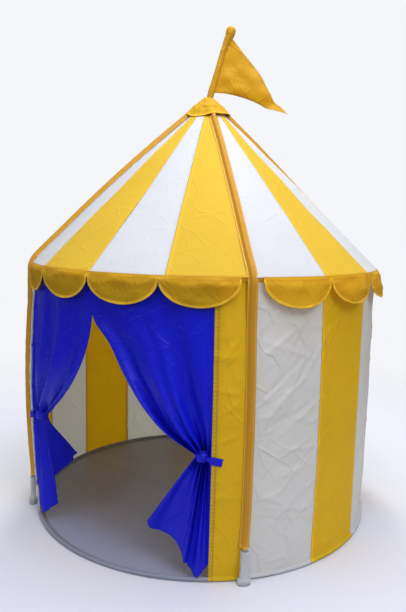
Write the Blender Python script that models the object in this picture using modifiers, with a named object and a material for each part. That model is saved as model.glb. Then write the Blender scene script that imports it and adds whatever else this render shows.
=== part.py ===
# A child's play tent in circus style: a round room of striped cloth, one metre across, that hangs on
# four bent rods, a spring hoop at the eave and another in the hem of the floor.
# Units are metres, +Z is up, the origin is the centre of the floor on the ground, the door faces -Y.
# An azimuth is an angle in degrees round the tent, from the middle of the door (-Y) towards +X.

import math

import bmesh
import bpy
from mathutils import Vector

MM = 0.001
SEAT = 0.3 * MM                      # gap between pieces that touch
SEAM = 0.5 * MM                      # gap between two stripes of cloth that are sewn together
CLOTH = 1.5 * MM                     # thickness that the thin cloth is modelled with

# Driving dimensions.
RADIUS = 0.500                       # outer face of the wall at both hoops
EAVE_Z = 0.7375                      # top of the eave hoop
ROOF_TOP_R = 0.035                   # where the roof cloth ends under the cap
ROOF_TOP_Z = 1.180
STRIPES = 16
STRIPE = 360 / STRIPES
FACETS = 3                           # flat facets across one stripe
POLE_AZIMUTHS = {"front_right": 45, "back_right": 135, "back_left": 225, "front_left": 315}
JAMB = 35.5                          # azimuth of the door's two side edges

# How far the cloth is pushed out by the rods, and pulled in between them, halfway up.
WALL_BOW_AT_POLE = 0.021
WALL_BOW_BETWEEN = -0.010
ROOF_BOW_AT_POLE = 0.0095
ROOF_BOW_BETWEEN = -0.004

# Hoops.
HOOP_R = RADIUS - CLOTH / 2          # both hoops lie over the middle of the wall's cloth
BASE_HOOP_D = 0.011
EAVE_HOOP_W = 0.007
EAVE_HOOP_H = 0.0134
EAVE_HOOP_Z = EAVE_Z - EAVE_HOOP_H / 2
HOOP_SIDES = 8

WALL_Z0 = BASE_HOOP_D + SEAT
WALL_Z1 = EAVE_Z - EAVE_HOOP_H - SEAT
WALL_LEVELS = (0.0, 0.105, 0.23, 0.37, 0.50, 0.63, 0.77, 0.90, 1.0)
ROOF_LEVELS = (0.0, 0.06, 0.25, 0.45, 0.65, 0.85, 1.0)

# Rods, their sleeves and their feet.
ROD_D = 0.0105
SLEEVE_W = 0.025
SLEEVE_DEPTH = 0.0135
SLEEVE_CLOTH = 1.2 * MM
SLEEVE_SIDES = 10
SLEEVE_Z0 = 0.092
SLEEVE_END = 0.62                    # share of the rod's last stretch that the sleeve covers
FOOT_R = 0.5175
FOOT_W = 0.034
FOOT_DEPTH = 0.023
FOOT_H = 0.015
SOCKET_D = 0.017
SOCKET_TOP = 0.084
ROD_Z0 = 0.028
HUB_R = 0.024
HUB_Z0 = 1.184
HUB_H = 0.022
BEND_RUN = 0.014                     # how far the bend reaches on each side of the eave
BEND_ROOM = 0.0019                   # extra room that the bend takes outside the roof's edge
BEND_STEPS = 4

# Valance.
SCALLOP_DEPTH = 0.072
JUNCTION_DEPTH = 0.011
VALANCE_END_GAP = 2.9                # degrees left free on each side of a rod's sleeve
VALANCE_FLARE = 0.006
VALANCE_CLEAR = 0.4 * MM             # gap between the valance and the roof's edge
VALANCE_RISE = 1.5 * MM              # how far the valance stands up past the roof's edge
VALANCE_LEVELS = (0.0, 0.45, 1.0)
SCALLOPS = 4
SCALLOP_FACETS = 6

# Cap, flag rod and flag.
CAP_TOP_R = 0.0125
CAP_TOP_Z = 1.226
CAP_HEM_R = 0.066
CAP_HEM_Z = 1.1705
CAP_WAVE = 0.0045
CAP_HOLLOW = 1.06                    # over 1, the cone's side is a little hollow
CAP_LEVELS = (0.0, 0.3, 0.6, 0.85, 1.0)
CAP_SIDES = 32
FLAG_LEAN = 15.0                     # degrees from upright
FLAG_LEAN_AZIMUTH = 123.0
FLAG_ROD_D = 0.0125
FLAG_ROD_FOOT = FLAG_ROD_D / 2 * math.sin(math.radians(FLAG_LEAN))     # how far the leaning end dips
FLAG_ROD_BASE = Vector((0, 0, HUB_Z0 + HUB_H + SEAT + FLAG_ROD_FOOT))
FLAG_ROD_LENGTH = 0.225
BALL_D = 0.026
HOIST = (0.031, 0.197)               # stretch of the flag rod that carries the flag
FLAG_LENGTH = 0.190
FLAG_DROP = 0.125                    # how far the fly end hangs below the middle of the hoist
FLAG_TIP_W = 0.010
FLAG_RIPPLE = 0.008

# Curtains: rows from the eave to the tail, as
# (azimuth of the free edge, its height, azimuth of the jamb edge, its height, thickness in mm).
TIE_Z0 = 0.288
TIE_Z1 = 0.313
SEWN = JAMB - 0.07
RIGHT_CURTAIN = (
    (0.25, WALL_Z1, SEWN, WALL_Z1, 3),
    (0.25, 0.622, SEWN, 0.640, 3),
    (5.8, 0.561, SEWN, 0.565, 4),
    (10.8, 0.488, SEWN, 0.500, 6),
    (16.9, 0.421, SEWN, 0.440, 8),
    (22.7, 0.373, SEWN, 0.390, 11),
    (28.4, 0.332, SEWN, 0.345, 14),
    (31.3, TIE_Z1, SEWN, TIE_Z1, 15),
    (31.3, TIE_Z0, SEWN, TIE_Z0, 15),
    (28.0, 0.238, SEWN, 0.232, 14),
    (23.0, 0.180, SEWN, 0.160, 12),
    (18.2, 0.126, SEWN, 0.030, 9),
)
LEFT_CURTAIN = (
    (0.25, WALL_Z1, SEWN, WALL_Z1, 3),
    (0.25, 0.616, SEWN, 0.640, 3),
    (2.2, 0.553, SEWN, 0.560, 4),
    (5.7, 0.485, SEWN, 0.495, 6),
    (10.5, 0.420, SEWN, 0.435, 8),
    (16.3, 0.383, SEWN, 0.400, 11),
    (26.2, 0.343, SEWN, 0.350, 14),
    (31.3, TIE_Z1, SEWN, TIE_Z1, 15),
    (31.3, TIE_Z0, SEWN, TIE_Z0, 15),
    (29.0, 0.238, SEWN, 0.232, 14),
    (24.5, 0.200, SEWN, 0.160, 12),
    (20.0, 0.160, SEWN, 0.030, 9),
)
CURTAIN_COLUMNS = 8
CURTAIN_INSET = 0.004
GATHER = 15 * MM                     # thickness of a curtain where it is tied
RIBBON = 1.0 * MM
RIBBON_MARGIN = 2 * MM               # how far the ribbon stays inside the gathered stretch, above and below
RIBBON_CLEAR = 0.2 * MM
RIBBON_LIFT = 0.7 * MM               # how far the ribbon's end stands off the strip beside the door
TAB = ((38.8, 2 * MM), (37.0, 0), (35.8, 0.6 * MM))    # free end of a tie: azimuth, lift off the strip
# A tie's way round the gathered cloth: azimuth, and 1 on its outside, 0 at its free edge, -1 on its inside.
WRAP = ((34.6, 1), (33.2, 1), (31.1, 1), (30.45, 0.6), (30.25, 0), (30.45, -0.6), (31.1, -1), (33.2, -1),
        (34.6, -1))

COLOURS = {
    "yellow_cloth": ((0.78, 0.52, 0.06), 0.45, 0.0),
    "white_cloth": ((0.78, 0.78, 0.80), 0.45, 0.0),
    "gold_cloth": ((0.52, 0.29, 0.03), 0.55, 0.0),
    "blue_cloth": ((0.02, 0.02, 0.48), 0.40, 0.0),
    "grey_cloth": ((0.19, 0.20, 0.22), 0.40, 0.0),
    "steel": ((0.45, 0.46, 0.50), 0.35, 1.0),
    "clear_plastic": ((0.70, 0.72, 0.75), 0.25, 0.0),
    "black_plastic": ((0.03, 0.03, 0.03), 0.45, 0.0),
}


def clear_scene():
    for old in list(bpy.data.objects):
        bpy.data.objects.remove(old, do_unlink=True)


def make_collection(name):
    group = bpy.data.collections.new(name)
    bpy.context.scene.collection.children.link(group)
    return group


def make_material(name):
    colour, roughness, metallic = COLOURS[name]
    material = bpy.data.materials.new(name)
    material.use_nodes = True
    shader = material.node_tree.nodes["Principled BSDF"]
    shader.inputs["Base Color"].default_value = (*colour, 1)
    shader.inputs["Roughness"].default_value = roughness
    shader.inputs["Metallic"].default_value = metallic
    return material


clear_scene()
PARTS = make_collection("circus_play_tent")
CUTTERS = make_collection("cutters")
MATERIALS = {name: make_material(name) for name in COLOURS}


def add_object(name, data, material):
    """Puts a finished mesh or curve into the tent's collection."""
    thing = bpy.data.objects.new(name, data)
    PARTS.objects.link(thing)
    data.materials.append(MATERIALS[material])
    return thing


def polar(azimuth, radius, z):
    """A point given by its azimuth in degrees, its distance from the tent's axis and its height."""
    angle = math.radians(azimuth)
    return Vector((radius * math.sin(angle), -radius * math.cos(angle), z))


def pole_share(azimuth):
    """1 at a rod, 0 halfway between two rods."""
    return 0.5 + 0.5 * math.cos(math.radians(4 * (azimuth - 45)))


def wall_radius(azimuth, z):
    """Outer face of the wall: round at both hoops, pushed out by the rods in between."""
    share = (z - WALL_Z0) / (WALL_Z1 - WALL_Z0)
    arch = 1 - (2 * share - 1) ** 2
    between = WALL_BOW_BETWEEN
    return RADIUS + arch * (between + (WALL_BOW_AT_POLE - between) * pole_share(azimuth))


def wall_height(share):
    return WALL_Z0 + share * (WALL_Z1 - WALL_Z0)


# The roof lies on the eave hoop: its line starts a little outside the point where it touches.
ROOF_SLOPE = math.atan2(ROOF_TOP_Z - EAVE_Z, RADIUS - ROOF_TOP_R)
ROOF_OUT = Vector((math.sin(ROOF_SLOPE), math.cos(ROOF_SLOPE)))
OVAL_REACH = math.hypot(EAVE_HOOP_W / 2 * ROOF_OUT.x, EAVE_HOOP_H / 2 * ROOF_OUT.y)
HOOP_REACH = OVAL_REACH / math.cos(math.pi / HOOP_SIDES)
ROOF_TOUCH = Vector((HOOP_R, EAVE_HOOP_Z)) + ROOF_OUT * (HOOP_REACH + SEAT + CLOTH)
ROOF_LIP = 0.003
ROOF_EDGE = ROOF_TOUCH + Vector((math.cos(ROOF_SLOPE), -math.sin(ROOF_SLOPE))) * ROOF_LIP
ROOF_TOP = Vector((ROOF_TOP_R, ROOF_EDGE.y + (ROOF_EDGE.x - ROOF_TOP_R) * math.tan(ROOF_SLOPE)))


def roof_line(azimuth, share):
    """Radius and height of the roof's outer face, from its lower edge (0) to its top (1)."""
    bulge = ROOF_BOW_BETWEEN + (ROOF_BOW_AT_POLE - ROOF_BOW_BETWEEN) * pole_share(azimuth)
    return ROOF_EDGE.lerp(ROOF_TOP, share) + ROOF_OUT * (bulge * math.sin(math.pi * share))


def cloth_panel(name, material, columns, rows, surface, thickness=CLOTH, weights=None):
    """A grid laid on surface(u, v), with u and v from 0 to 1, thickened towards its back."""
    mesh = bpy.data.meshes.new(name)
    form = bmesh.new()
    bmesh.ops.create_grid(form, x_segments=columns, y_segments=rows, size=0.5)
    layer = form.verts.layers.deform.verify()
    for vert in form.verts:
        u, v = vert.co.x + 0.5, vert.co.y + 0.5
        if weights:
            vert[layer][0] = weights(u, v)
        vert.co = surface(u, v)
    form.to_mesh(mesh)
    form.free()
    panel = add_object(name, mesh, material)
    solidify = panel.modifiers.new("cloth", "SOLIDIFY")
    solidify.thickness = thickness
    solidify.offset = 0 if weights else -1
    if weights:
        panel.vertex_groups.new(name="thick")
        solidify.vertex_group = "thick"
    return panel


def stripe_colour(index):
    """Stripes alternate: the one that starts at the middle of the door is white."""
    return "white_cloth" if index % 2 == 0 else "yellow_cloth"


def trimmed(low, high, radius):
    """A stripe's azimuths, less half a seam on each side."""
    half_seam = math.degrees(SEAM / 2 / radius)
    return low + half_seam, high - half_seam


def wall_stripe(name, low, high, columns, material):
    low, high = trimmed(low, high, RADIUS)

    def surface(u, v):
        azimuth = low + (high - low) * u
        z = wall_height(WALL_LEVELS[round(v * (len(WALL_LEVELS) - 1))])
        return polar(azimuth, wall_radius(azimuth, z), z)

    return cloth_panel(name, material, columns, len(WALL_LEVELS) - 1, surface)


def build_walls():
    """Four stripes in each closed quarter, and one narrow strip on each side of the door."""
    quarters = (("right", 45), ("back", 135), ("left", 225))
    for side, start in quarters:
        for step in range(4):
            low = start + step * STRIPE
            material = stripe_colour(round(low / STRIPE))
            wall_stripe(f"wall_{side}_{step + 1}", low, low + STRIPE, FACETS, material)
    wall_stripe("door_strip_right", JAMB, 45, 1, "yellow_cloth")
    wall_stripe("door_strip_left", 315, 360 - JAMB, 1, "white_cloth")


def roof_gore(index):
    start = index * STRIPE

    def surface(u, v):
        share = ROOF_LEVELS[round(v * (len(ROOF_LEVELS) - 1))]
        azimuth = start + STRIPE * u
        radius, z = roof_line(azimuth, share)
        low, high = trimmed(start, start + STRIPE, radius)
        return polar(low + (high - low) * u, radius, z)

    name = f"roof_gore_{index + 1:02d}"
    return cloth_panel(name, stripe_colour(index), FACETS, len(ROOF_LEVELS) - 1, surface)


def turned_ring(name, material, centre_radius, centre_z, half_width, half_height):
    """A closed ring with an oval section, turned in steps that match the facets of the cloth."""
    mesh = bpy.data.meshes.new(name)
    form = bmesh.new()
    section = []
    scale = 1 / math.cos(math.pi / HOOP_SIDES)
    for step in range(HOOP_SIDES):
        angle = -2 * math.pi * (step + 0.5) / HOOP_SIDES
        offset = Vector((half_width * math.cos(angle), 0, half_height * math.sin(angle))) * scale
        section.append(form.verts.new(Vector((centre_radius, 0, centre_z)) + offset))
    for step in range(HOOP_SIDES):
        form.edges.new((section[step], section[(step + 1) % HOOP_SIDES]))
    form.to_mesh(mesh)
    form.free()
    ring = add_object(name, mesh, material)
    screw = ring.modifiers.new("turn", "SCREW")
    screw.axis = "Z"
    screw.steps = screw.render_steps = STRIPES * FACETS
    screw.use_merge_vertices = True
    screw.merge_threshold = 0.00001
    return ring


def build_floor():
    mesh = bpy.data.meshes.new("floor_sheet")
    form = bmesh.new()
    flat_half = BASE_HOOP_D / 2 * math.tan(math.pi / HOOP_SIDES)
    radius = HOOP_R - flat_half - CLOTH - 1.5 * SEAT
    sides = STRIPES * FACETS
    bmesh.ops.create_cone(form, cap_ends=True, segments=sides, radius1=radius, radius2=radius, depth=CLOTH)
    bmesh.ops.translate(form, verts=form.verts, vec=(0, 0, CLOTH / 2))
    form.to_mesh(mesh)
    form.free()
    add_object("floor_sheet", mesh, "grey_cloth")


def scallop_drop(share):
    """How far the valance hangs below its top at a share of its length: arcs that meet in short notches."""
    within = (share * SCALLOPS) % 1.0
    arc = math.sqrt(max(0.0, 1 - (2 * within - 1) ** 2))
    return JUNCTION_DEPTH + (SCALLOP_DEPTH - JUNCTION_DEPTH) * arc


def valance_quarter(name, start):
    low, high = start + VALANCE_END_GAP, start + 90 - VALANCE_END_GAP
    top_radius = ROOF_EDGE.x + VALANCE_CLEAR + CLOTH
    top_z = ROOF_EDGE.y + VALANCE_RISE
    columns = SCALLOPS * SCALLOP_FACETS
    rows = len(VALANCE_LEVELS) - 1

    def surface(u, v):
        share = VALANCE_LEVELS[round(v * rows)]
        drop = scallop_drop(u) * (1 - share)
        radius = top_radius + VALANCE_FLARE * drop / SCALLOP_DEPTH
        return polar(low + (high - low) * u, radius, top_z - drop)

    return cloth_panel(name, "yellow_cloth", columns, rows, surface)


def pole_spine():
    """The rod's line as (radius, height): points on the wall, the bend's two ends, points on the roof."""
    reach = SLEEVE_DEPTH / 2 + SEAT
    points = []
    for level in WALL_LEVELS[1:-1]:
        z = wall_height(level)
        radius = wall_radius(45, z) + reach
        points.append(Vector((max(radius, FOOT_R if z < 0.1 else 0), z)))
    low = Vector((ROOF_EDGE.x + reach + BEND_ROOM, EAVE_Z - BEND_RUN))
    roof = [roof_line(45, share) + ROOF_OUT * reach for share in ROOF_LEVELS[2:-1]]
    edge = roof_line(45, 0) + ROOF_OUT * (reach + BEND_ROOM)
    high = edge + (roof[0] - edge).normalized() * BEND_RUN
    return points, low, high, roof


def rounded(start, corner, end, steps):
    """Points on a smooth bend from start to end, pulled towards the corner."""
    for step in range(steps + 1):
        share = step / steps
        yield start * (1 - share) ** 2 + corner * (2 * share * (1 - share)) + end * share ** 2


def spine_points():
    wall, low, high, roof = pole_spine()
    run = high - roof[0]
    corner = high + run * ((low.x - high.x) / run.x)
    return wall + list(rounded(low, corner, high, BEND_STEPS)) + roof


def poly_curve(name, points, material):
    curve = bpy.data.curves.new(name, "CURVE")
    curve.dimensions = "3D"
    curve.twist_mode = "Z_UP"
    spline = curve.splines.new("POLY")
    spline.points.add(len(points) - 1)
    for target, point in zip(spline.points, points):
        target.co = (*point, 1)
    curve.materials.append(MATERIALS[material])
    return curve


def build_pole(corner, azimuth):
    """A steel rod from its socket in the foot up the wall, over the eave and up to the hub."""
    spine = spine_points()
    foot = Vector((FOOT_R, ROD_Z0))
    top = roof_line(45, 1) + ROOF_OUT * (SLEEVE_DEPTH / 2 + SEAT)
    inward = (top - spine[-1]).normalized()
    hub_side = HUB_R + SEAT + ROD_D / 2 * ROOF_OUT.x
    end = top + inward * ((hub_side - top.x) / inward.x)
    line = [foot] + spine + [end]
    curve = poly_curve(f"pole_{corner}", [polar(azimuth, p.x, p.y) for p in line], "steel")
    curve.bevel_depth = ROD_D / 2
    curve.bevel_resolution = 2
    curve.fill_mode = "FULL"
    curve.use_fill_caps = True
    pole = bpy.data.objects.new(f"pole_{corner}", curve)
    PARTS.objects.link(pole)
    return pole


def build_sleeve(corner, azimuth):
    """A flat cloth tube sewn to the outside of the wall and roof, which the rod is pushed through."""
    spine = spine_points()
    lower = Vector((FOOT_R, SLEEVE_Z0))
    top = roof_line(45, 1) + ROOF_OUT * (SLEEVE_DEPTH / 2 + SEAT)
    end = spine[-1].lerp(top, SLEEVE_END)
    line = [lower] + [point for point in spine if point.y > SLEEVE_Z0] + [end]
    mesh = bpy.data.meshes.new(f"sleeve_{corner}")
    form = bmesh.new()
    bmesh.ops.create_cone(form, cap_ends=False, segments=SLEEVE_SIDES, radius1=1, radius2=1, depth=1)
    bottom = sorted((v for v in form.verts if v.co.z < 0), key=lambda v: math.atan2(v.co.y, v.co.x))
    loops = [bottom]
    edges = [e for e in form.edges if e.verts[0].co.z < 0 and e.verts[1].co.z < 0]
    bmesh.ops.delete(form, geom=[v for v in form.verts if v.co.z > 0], context="VERTS")
    for _ in line[1:]:
        grown = bmesh.ops.extrude_edge_only(form, edges=edges)
        edges = [g for g in grown["geom"] if isinstance(g, bmesh.types.BMEdge)]
        ring = [g for g in grown["geom"] if isinstance(g, bmesh.types.BMVert)]
        loops.append(sorted(ring, key=lambda v: math.atan2(v.co.y, v.co.x)))
    radial = polar(azimuth, 1, 0)
    across = Vector((0, 0, 1)).cross(radial)
    for place, (loop, point) in enumerate(zip(loops, line)):
        before = line[max(place - 1, 0)]
        after = line[min(place + 1, len(line) - 1)]
        along = (after - before).normalized()
        outward = Vector((along.y, -along.x))
        for step, vert in enumerate(loop):
            angle = 2 * math.pi * step / SLEEVE_SIDES
            depth = SLEEVE_DEPTH / 2 * math.cos(angle)
            spot = point + outward * depth
            vert.co = radial * spot.x + Vector((0, 0, spot.y)) + across * (SLEEVE_W / 2 * math.sin(angle))
    bmesh.ops.recalc_face_normals(form, faces=form.faces)
    form.to_mesh(mesh)
    form.free()
    sleeve = add_object(f"sleeve_{corner}", mesh, "gold_cloth")
    mesh.shade_smooth()
    solidify = sleeve.modifiers.new("cloth", "SOLIDIFY")
    solidify.thickness = SLEEVE_CLOTH
    solidify.offset = -1
    return sleeve


def cutter(name, mesh, place):
    tool = bpy.data.objects.new(name, mesh)
    CUTTERS.objects.link(tool)
    tool.location = place
    tool.hide_render = True
    tool.display_type = "WIRE"
    return tool


def cylinder_mesh(name, diameter, low, high, sides, flat=1.0):
    """An upright cylinder between two heights, squeezed along Y to an oval if flat is under 1."""
    mesh = bpy.data.meshes.new(name)
    form = bmesh.new()
    half = diameter / 2
    bmesh.ops.create_cone(form, cap_ends=True, segments=sides, radius1=half, radius2=half, depth=high - low)
    bmesh.ops.scale(form, verts=form.verts, vec=(1, flat, 1))
    bmesh.ops.translate(form, verts=form.verts, vec=(0, 0, (low + high) / 2))
    form.to_mesh(mesh)
    form.free()
    return mesh


def build_foot(corner, azimuth):
    """A clear plastic foot that stands on the ground outside the hem, with a socket for the rod."""
    place = polar(azimuth, FOOT_R, 0)
    base = cylinder_mesh(f"foot_{corner}", FOOT_W, 0, FOOT_H, 16, FOOT_DEPTH / FOOT_W)
    foot = add_object(f"foot_{corner}", base, "clear_plastic")
    foot.location = place
    foot.rotation_euler.z = math.radians(azimuth)
    socket_mesh = cylinder_mesh("socket", SOCKET_D, FOOT_H / 2, SOCKET_TOP, 16)
    socket = cutter(f"socket_{corner}", socket_mesh, place)
    bore_mesh = cylinder_mesh("bore", ROD_D + 2 * SEAT, ROD_Z0 - SEAT, SOCKET_TOP + 0.01, 16)
    bore = cutter(f"bore_{corner}", bore_mesh, place)
    for tool, operation in ((socket, "UNION"), (bore, "DIFFERENCE")):
        tool.rotation_euler.z = math.radians(azimuth)
        modifier = foot.modifiers.new(operation.lower(), "BOOLEAN")
        modifier.operation = operation
        modifier.object = tool
    return foot


def build_hub():
    """The plastic hub under the cap that the four rods lean on and the flag rod stands in."""
    hub = cylinder_mesh("apex_hub", 2 * HUB_R, HUB_Z0, HUB_Z0 + HUB_H, 24)
    add_object("apex_hub", hub, "black_plastic")


def cap_profile(share, azimuth):
    """Radius and height of the cap, from its hem (0) to its neck (1). The sleeves lift the hem."""
    hem_z = CAP_HEM_Z + CAP_WAVE * (2 * pole_share(azimuth) - 1)
    z = hem_z + (CAP_TOP_Z - hem_z) * share
    radius = CAP_HEM_R + (CAP_TOP_R - CAP_HEM_R) * share ** CAP_HOLLOW
    return radius, z


def build_cap():
    """A small cone of cloth that covers the hub and the ends of the sleeves."""
    rows = len(CAP_LEVELS) - 1
    mesh = bpy.data.meshes.new("apex_cap")
    form = bmesh.new()
    bmesh.ops.create_grid(form, x_segments=CAP_SIDES, y_segments=rows, size=0.5)
    for vert in form.verts:
        azimuth = 360 * (vert.co.x + 0.5)
        share = CAP_LEVELS[round((vert.co.y + 0.5) * rows)]
        radius, z = cap_profile(share, azimuth)
        vert.co = polar(azimuth, radius, z)
    bmesh.ops.remove_doubles(form, verts=form.verts, dist=0.00001)
    form.to_mesh(mesh)
    form.free()
    cap = add_object("apex_cap", mesh, "yellow_cloth")
    mesh.shade_smooth()
    solidify = cap.modifiers.new("cloth", "SOLIDIFY")
    solidify.thickness = CLOTH
    solidify.offset = -1


def flag_axis():
    lean = math.radians(FLAG_LEAN)
    return polar(FLAG_LEAN_AZIMUTH, math.sin(lean), math.cos(lean))


def build_flag_rod():
    """The leaning rod in its cloth sleeve, with a soft ball at its tip."""
    mesh = bpy.data.meshes.new("flag_rod")
    form = bmesh.new()
    ball_z = FLAG_ROD_LENGTH - BALL_D / 2
    outline = [(0, 0), (FLAG_ROD_D / 2, 0)]
    neck = math.asin(FLAG_ROD_D / BALL_D)
    arc = [neck + (math.pi - neck) * step / 8 for step in range(9)]
    outline += [(BALL_D / 2 * math.sin(a), ball_z - BALL_D / 2 * math.cos(a)) for a in arc]
    points = [form.verts.new((radius, 0, z)) for radius, z in reversed(outline)]
    for first, second in zip(points, points[1:]):
        form.edges.new((first, second))
    form.to_mesh(mesh)
    form.free()
    rod = add_object("flag_rod", mesh, "gold_cloth")
    rod.location = FLAG_ROD_BASE
    rod.rotation_mode = "QUATERNION"
    rod.rotation_quaternion = Vector((0, 0, 1)).rotation_difference(flag_axis())
    screw = rod.modifiers.new("turn", "SCREW")
    screw.axis = "Z"
    screw.steps = screw.render_steps = 16
    screw.use_merge_vertices = True
    screw.merge_threshold = 0.00001
    return rod


def build_flag():
    """A three-cornered flag whose longest side is the hoist. Its fly end droops."""
    axis = flag_axis()
    fly = polar(FLAG_LEAN_AZIMUTH, 1, 0)
    side = axis.cross(fly).normalized()
    off_rod = (fly - axis * fly.dot(axis)).normalized()
    gap = FLAG_ROD_D / 2 + SEAT

    def surface(u, v):
        low, high = HOIST
        hoist = FLAG_ROD_BASE + axis * (low + (high - low) * v) + off_rod * gap
        middle = FLAG_ROD_BASE + axis * ((low + high) / 2)
        tip = middle + fly * FLAG_LENGTH + Vector((0, 0, FLAG_TIP_W * (v - 0.5) - FLAG_DROP))
        return hoist.lerp(tip, u) + side * (FLAG_RIPPLE * math.sin(math.pi * u))

    cloth_panel("flag", "yellow_cloth", 6, 3, surface)


def curtain_radius(azimuth, z):
    """Middle of a curtain: under the eave hoop at the top, level with the wall at the jamb."""
    at_jamb = wall_radius(JAMB, z) - CLOTH / 2 - RADIUS
    share = (abs(azimuth) / JAMB) ** 2
    below = min(1.0, (WALL_Z1 - z) / 0.1)
    return RADIUS - CLOTH / 2 - CURTAIN_INSET * below * (1 - share) + at_jamb * share


def build_curtain(side, rows):
    """A satin curtain, sewn to the eave and the jamb, gathered by its tie and spreading in a tail."""
    mirror = 1 if side == "right" else -1
    last = len(rows) - 1
    thickest = max(row[4] for row in rows)

    def surface(u, v):
        free_azimuth, free_z, sewn_azimuth, sewn_z, _ = rows[round((1 - v) * last)]
        across = u if mirror > 0 else 1 - u
        azimuth = free_azimuth + (sewn_azimuth - free_azimuth) * across
        z = free_z + (sewn_z - free_z) * across
        return polar(mirror * azimuth, curtain_radius(azimuth, z), z)

    def weights(u, v):
        across = u if mirror > 0 else 1 - u
        share = rows[round((1 - v) * last)][4] / thickest
        at_jamb = 1.5 / thickest
        return at_jamb + (share - at_jamb) * min(1.0, (1 - across) * 4)

    cloth_panel(f"curtain_{side}", "blue_cloth", CURTAIN_COLUMNS, last, surface, thickest * MM, weights)


def build_tie(side):
    """The ribbon that holds a curtain back: it goes round the gathered cloth and ends in a free tab."""
    mirror = 1 if side == "right" else -1
    z_middle = (TIE_Z0 + TIE_Z1) / 2
    height = TIE_Z1 - TIE_Z0 - 2 * RIBBON_MARGIN
    clear = GATHER / 2 + SEAT + RIBBON + RIBBON_CLEAR
    on_strip = SEAT + RIBBON + RIBBON_LIFT
    path = [(azimuth, wall_radius(azimuth, z_middle) + on_strip + lift) for azimuth, lift in TAB]
    path += [(azimuth, curtain_radius(azimuth, z_middle) + clear * reach) for azimuth, reach in WRAP]

    def surface(u, v):
        across = u if mirror < 0 else 1 - u
        azimuth, radius = path[round(across * (len(path) - 1))]
        return polar(mirror * azimuth, radius, z_middle + height * (v - 0.5))

    cloth_panel(f"curtain_tie_{side}", "blue_cloth", len(path) - 1, 1, surface, RIBBON)


def main():
    build_floor()
    half = BASE_HOOP_D / 2
    turned_ring("base_hoop", "grey_cloth", HOOP_R, half, half, half)
    turned_ring("eave_hoop", "gold_cloth", HOOP_R, EAVE_HOOP_Z, EAVE_HOOP_W / 2, EAVE_HOOP_H / 2)
    build_walls()
    for index in range(STRIPES):
        roof_gore(index)
    for side, start in (("front", -45), ("right", 45), ("back", 135), ("left", 225)):
        valance_quarter(f"valance_{side}", start)
    for corner, azimuth in POLE_AZIMUTHS.items():
        build_pole(corner, azimuth)
        build_sleeve(corner, azimuth)
        build_foot(corner, azimuth)
    build_hub()
    build_cap()
    build_flag_rod()
    build_flag()
    build_curtain("right", RIGHT_CURTAIN)
    build_curtain("left", LEFT_CURTAIN)
    build_tie("right")
    build_tie("left")


main()
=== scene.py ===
# %% [markdown]
# This lesson dresses a child's play tent in circus style: a round room of striped taffeta, one metre
# across, with a scalloped valance, two tied satin curtains, a grey floor and a flag on the cap.
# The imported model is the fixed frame. Nothing in it is moved. Each cloth piece is laid in the place of its
# plain solid, at its real size, and the measures below are read from those solids.

# %% Load the fixed frame
import math

import bmesh
import bpy
import numpy as np
from mathutils import Euler, Matrix, Vector


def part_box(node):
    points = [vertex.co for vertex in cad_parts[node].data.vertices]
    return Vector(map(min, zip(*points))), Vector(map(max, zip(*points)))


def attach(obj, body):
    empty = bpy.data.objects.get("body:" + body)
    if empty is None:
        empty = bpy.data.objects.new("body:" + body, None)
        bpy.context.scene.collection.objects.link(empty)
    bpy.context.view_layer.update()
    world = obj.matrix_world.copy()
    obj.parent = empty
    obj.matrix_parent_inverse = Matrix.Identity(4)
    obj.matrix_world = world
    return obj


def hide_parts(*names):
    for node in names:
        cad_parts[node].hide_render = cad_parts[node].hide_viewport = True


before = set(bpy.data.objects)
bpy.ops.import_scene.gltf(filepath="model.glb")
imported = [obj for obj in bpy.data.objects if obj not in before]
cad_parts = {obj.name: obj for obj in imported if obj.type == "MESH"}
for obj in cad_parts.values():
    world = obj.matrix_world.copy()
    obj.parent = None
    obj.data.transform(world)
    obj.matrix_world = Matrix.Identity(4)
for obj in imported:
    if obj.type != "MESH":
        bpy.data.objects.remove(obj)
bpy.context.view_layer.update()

MM = 0.001

# %% [markdown]
# The camera comes first, because every later choice is judged through it. The photograph was taken from the
# tent's front right, a little above the eave, looking slightly down. The lens is given as the focal length
# in pixels of the 406 by 612 picture, and Blender's sensor width of 36 mm spans the longer side.

# %% Camera
PICTURE = (406, 612)
FOCAL_PIXELS = 600.87
CAMERA_AZIMUTH = 32.70               # round the tent, from the middle of the door towards +X
CAMERA_REACH = 1.841                 # from the tent's axis
CAMERA_HEIGHT = 0.850
CAMERA_HEADING = 32.79               # degrees to the left of +Y
CAMERA_PITCH = -7.72
CAMERA_ROLL = 1.29


def polar(azimuth, radius, z):
    """Points by azimuth in degrees from the middle of the door, distance from the axis, and height."""
    angle = np.radians(azimuth)
    parts = np.broadcast_arrays(radius * np.sin(angle), -radius * np.cos(angle), z)
    return np.stack(parts, axis=-1)


def put_in_scene(name, data):
    """An object for a mesh, a curve, a lamp or a camera, in the scene's own collection."""
    made = bpy.data.objects.new(name, data)
    bpy.context.scene.collection.objects.link(made)
    return made


lens = bpy.data.cameras.new("camera")
lens.sensor_width = 36
lens.lens = FOCAL_PIXELS / max(PICTURE) * lens.sensor_width
camera = put_in_scene("camera", lens)
turn = Euler((math.radians(90 + CAMERA_PITCH), 0, math.radians(CAMERA_HEADING))).to_matrix()
turn = turn @ Matrix.Rotation(math.radians(CAMERA_ROLL), 3, "Z")
place = Vector(polar(CAMERA_AZIMUTH, CAMERA_REACH, CAMERA_HEIGHT))
camera.matrix_world = Matrix.Translation(place) @ turn.to_4x4()
bpy.context.scene.camera = camera
print("camera at", [round(x, 3) for x in place], "lens", round(lens.lens, 2), "mm")

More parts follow.
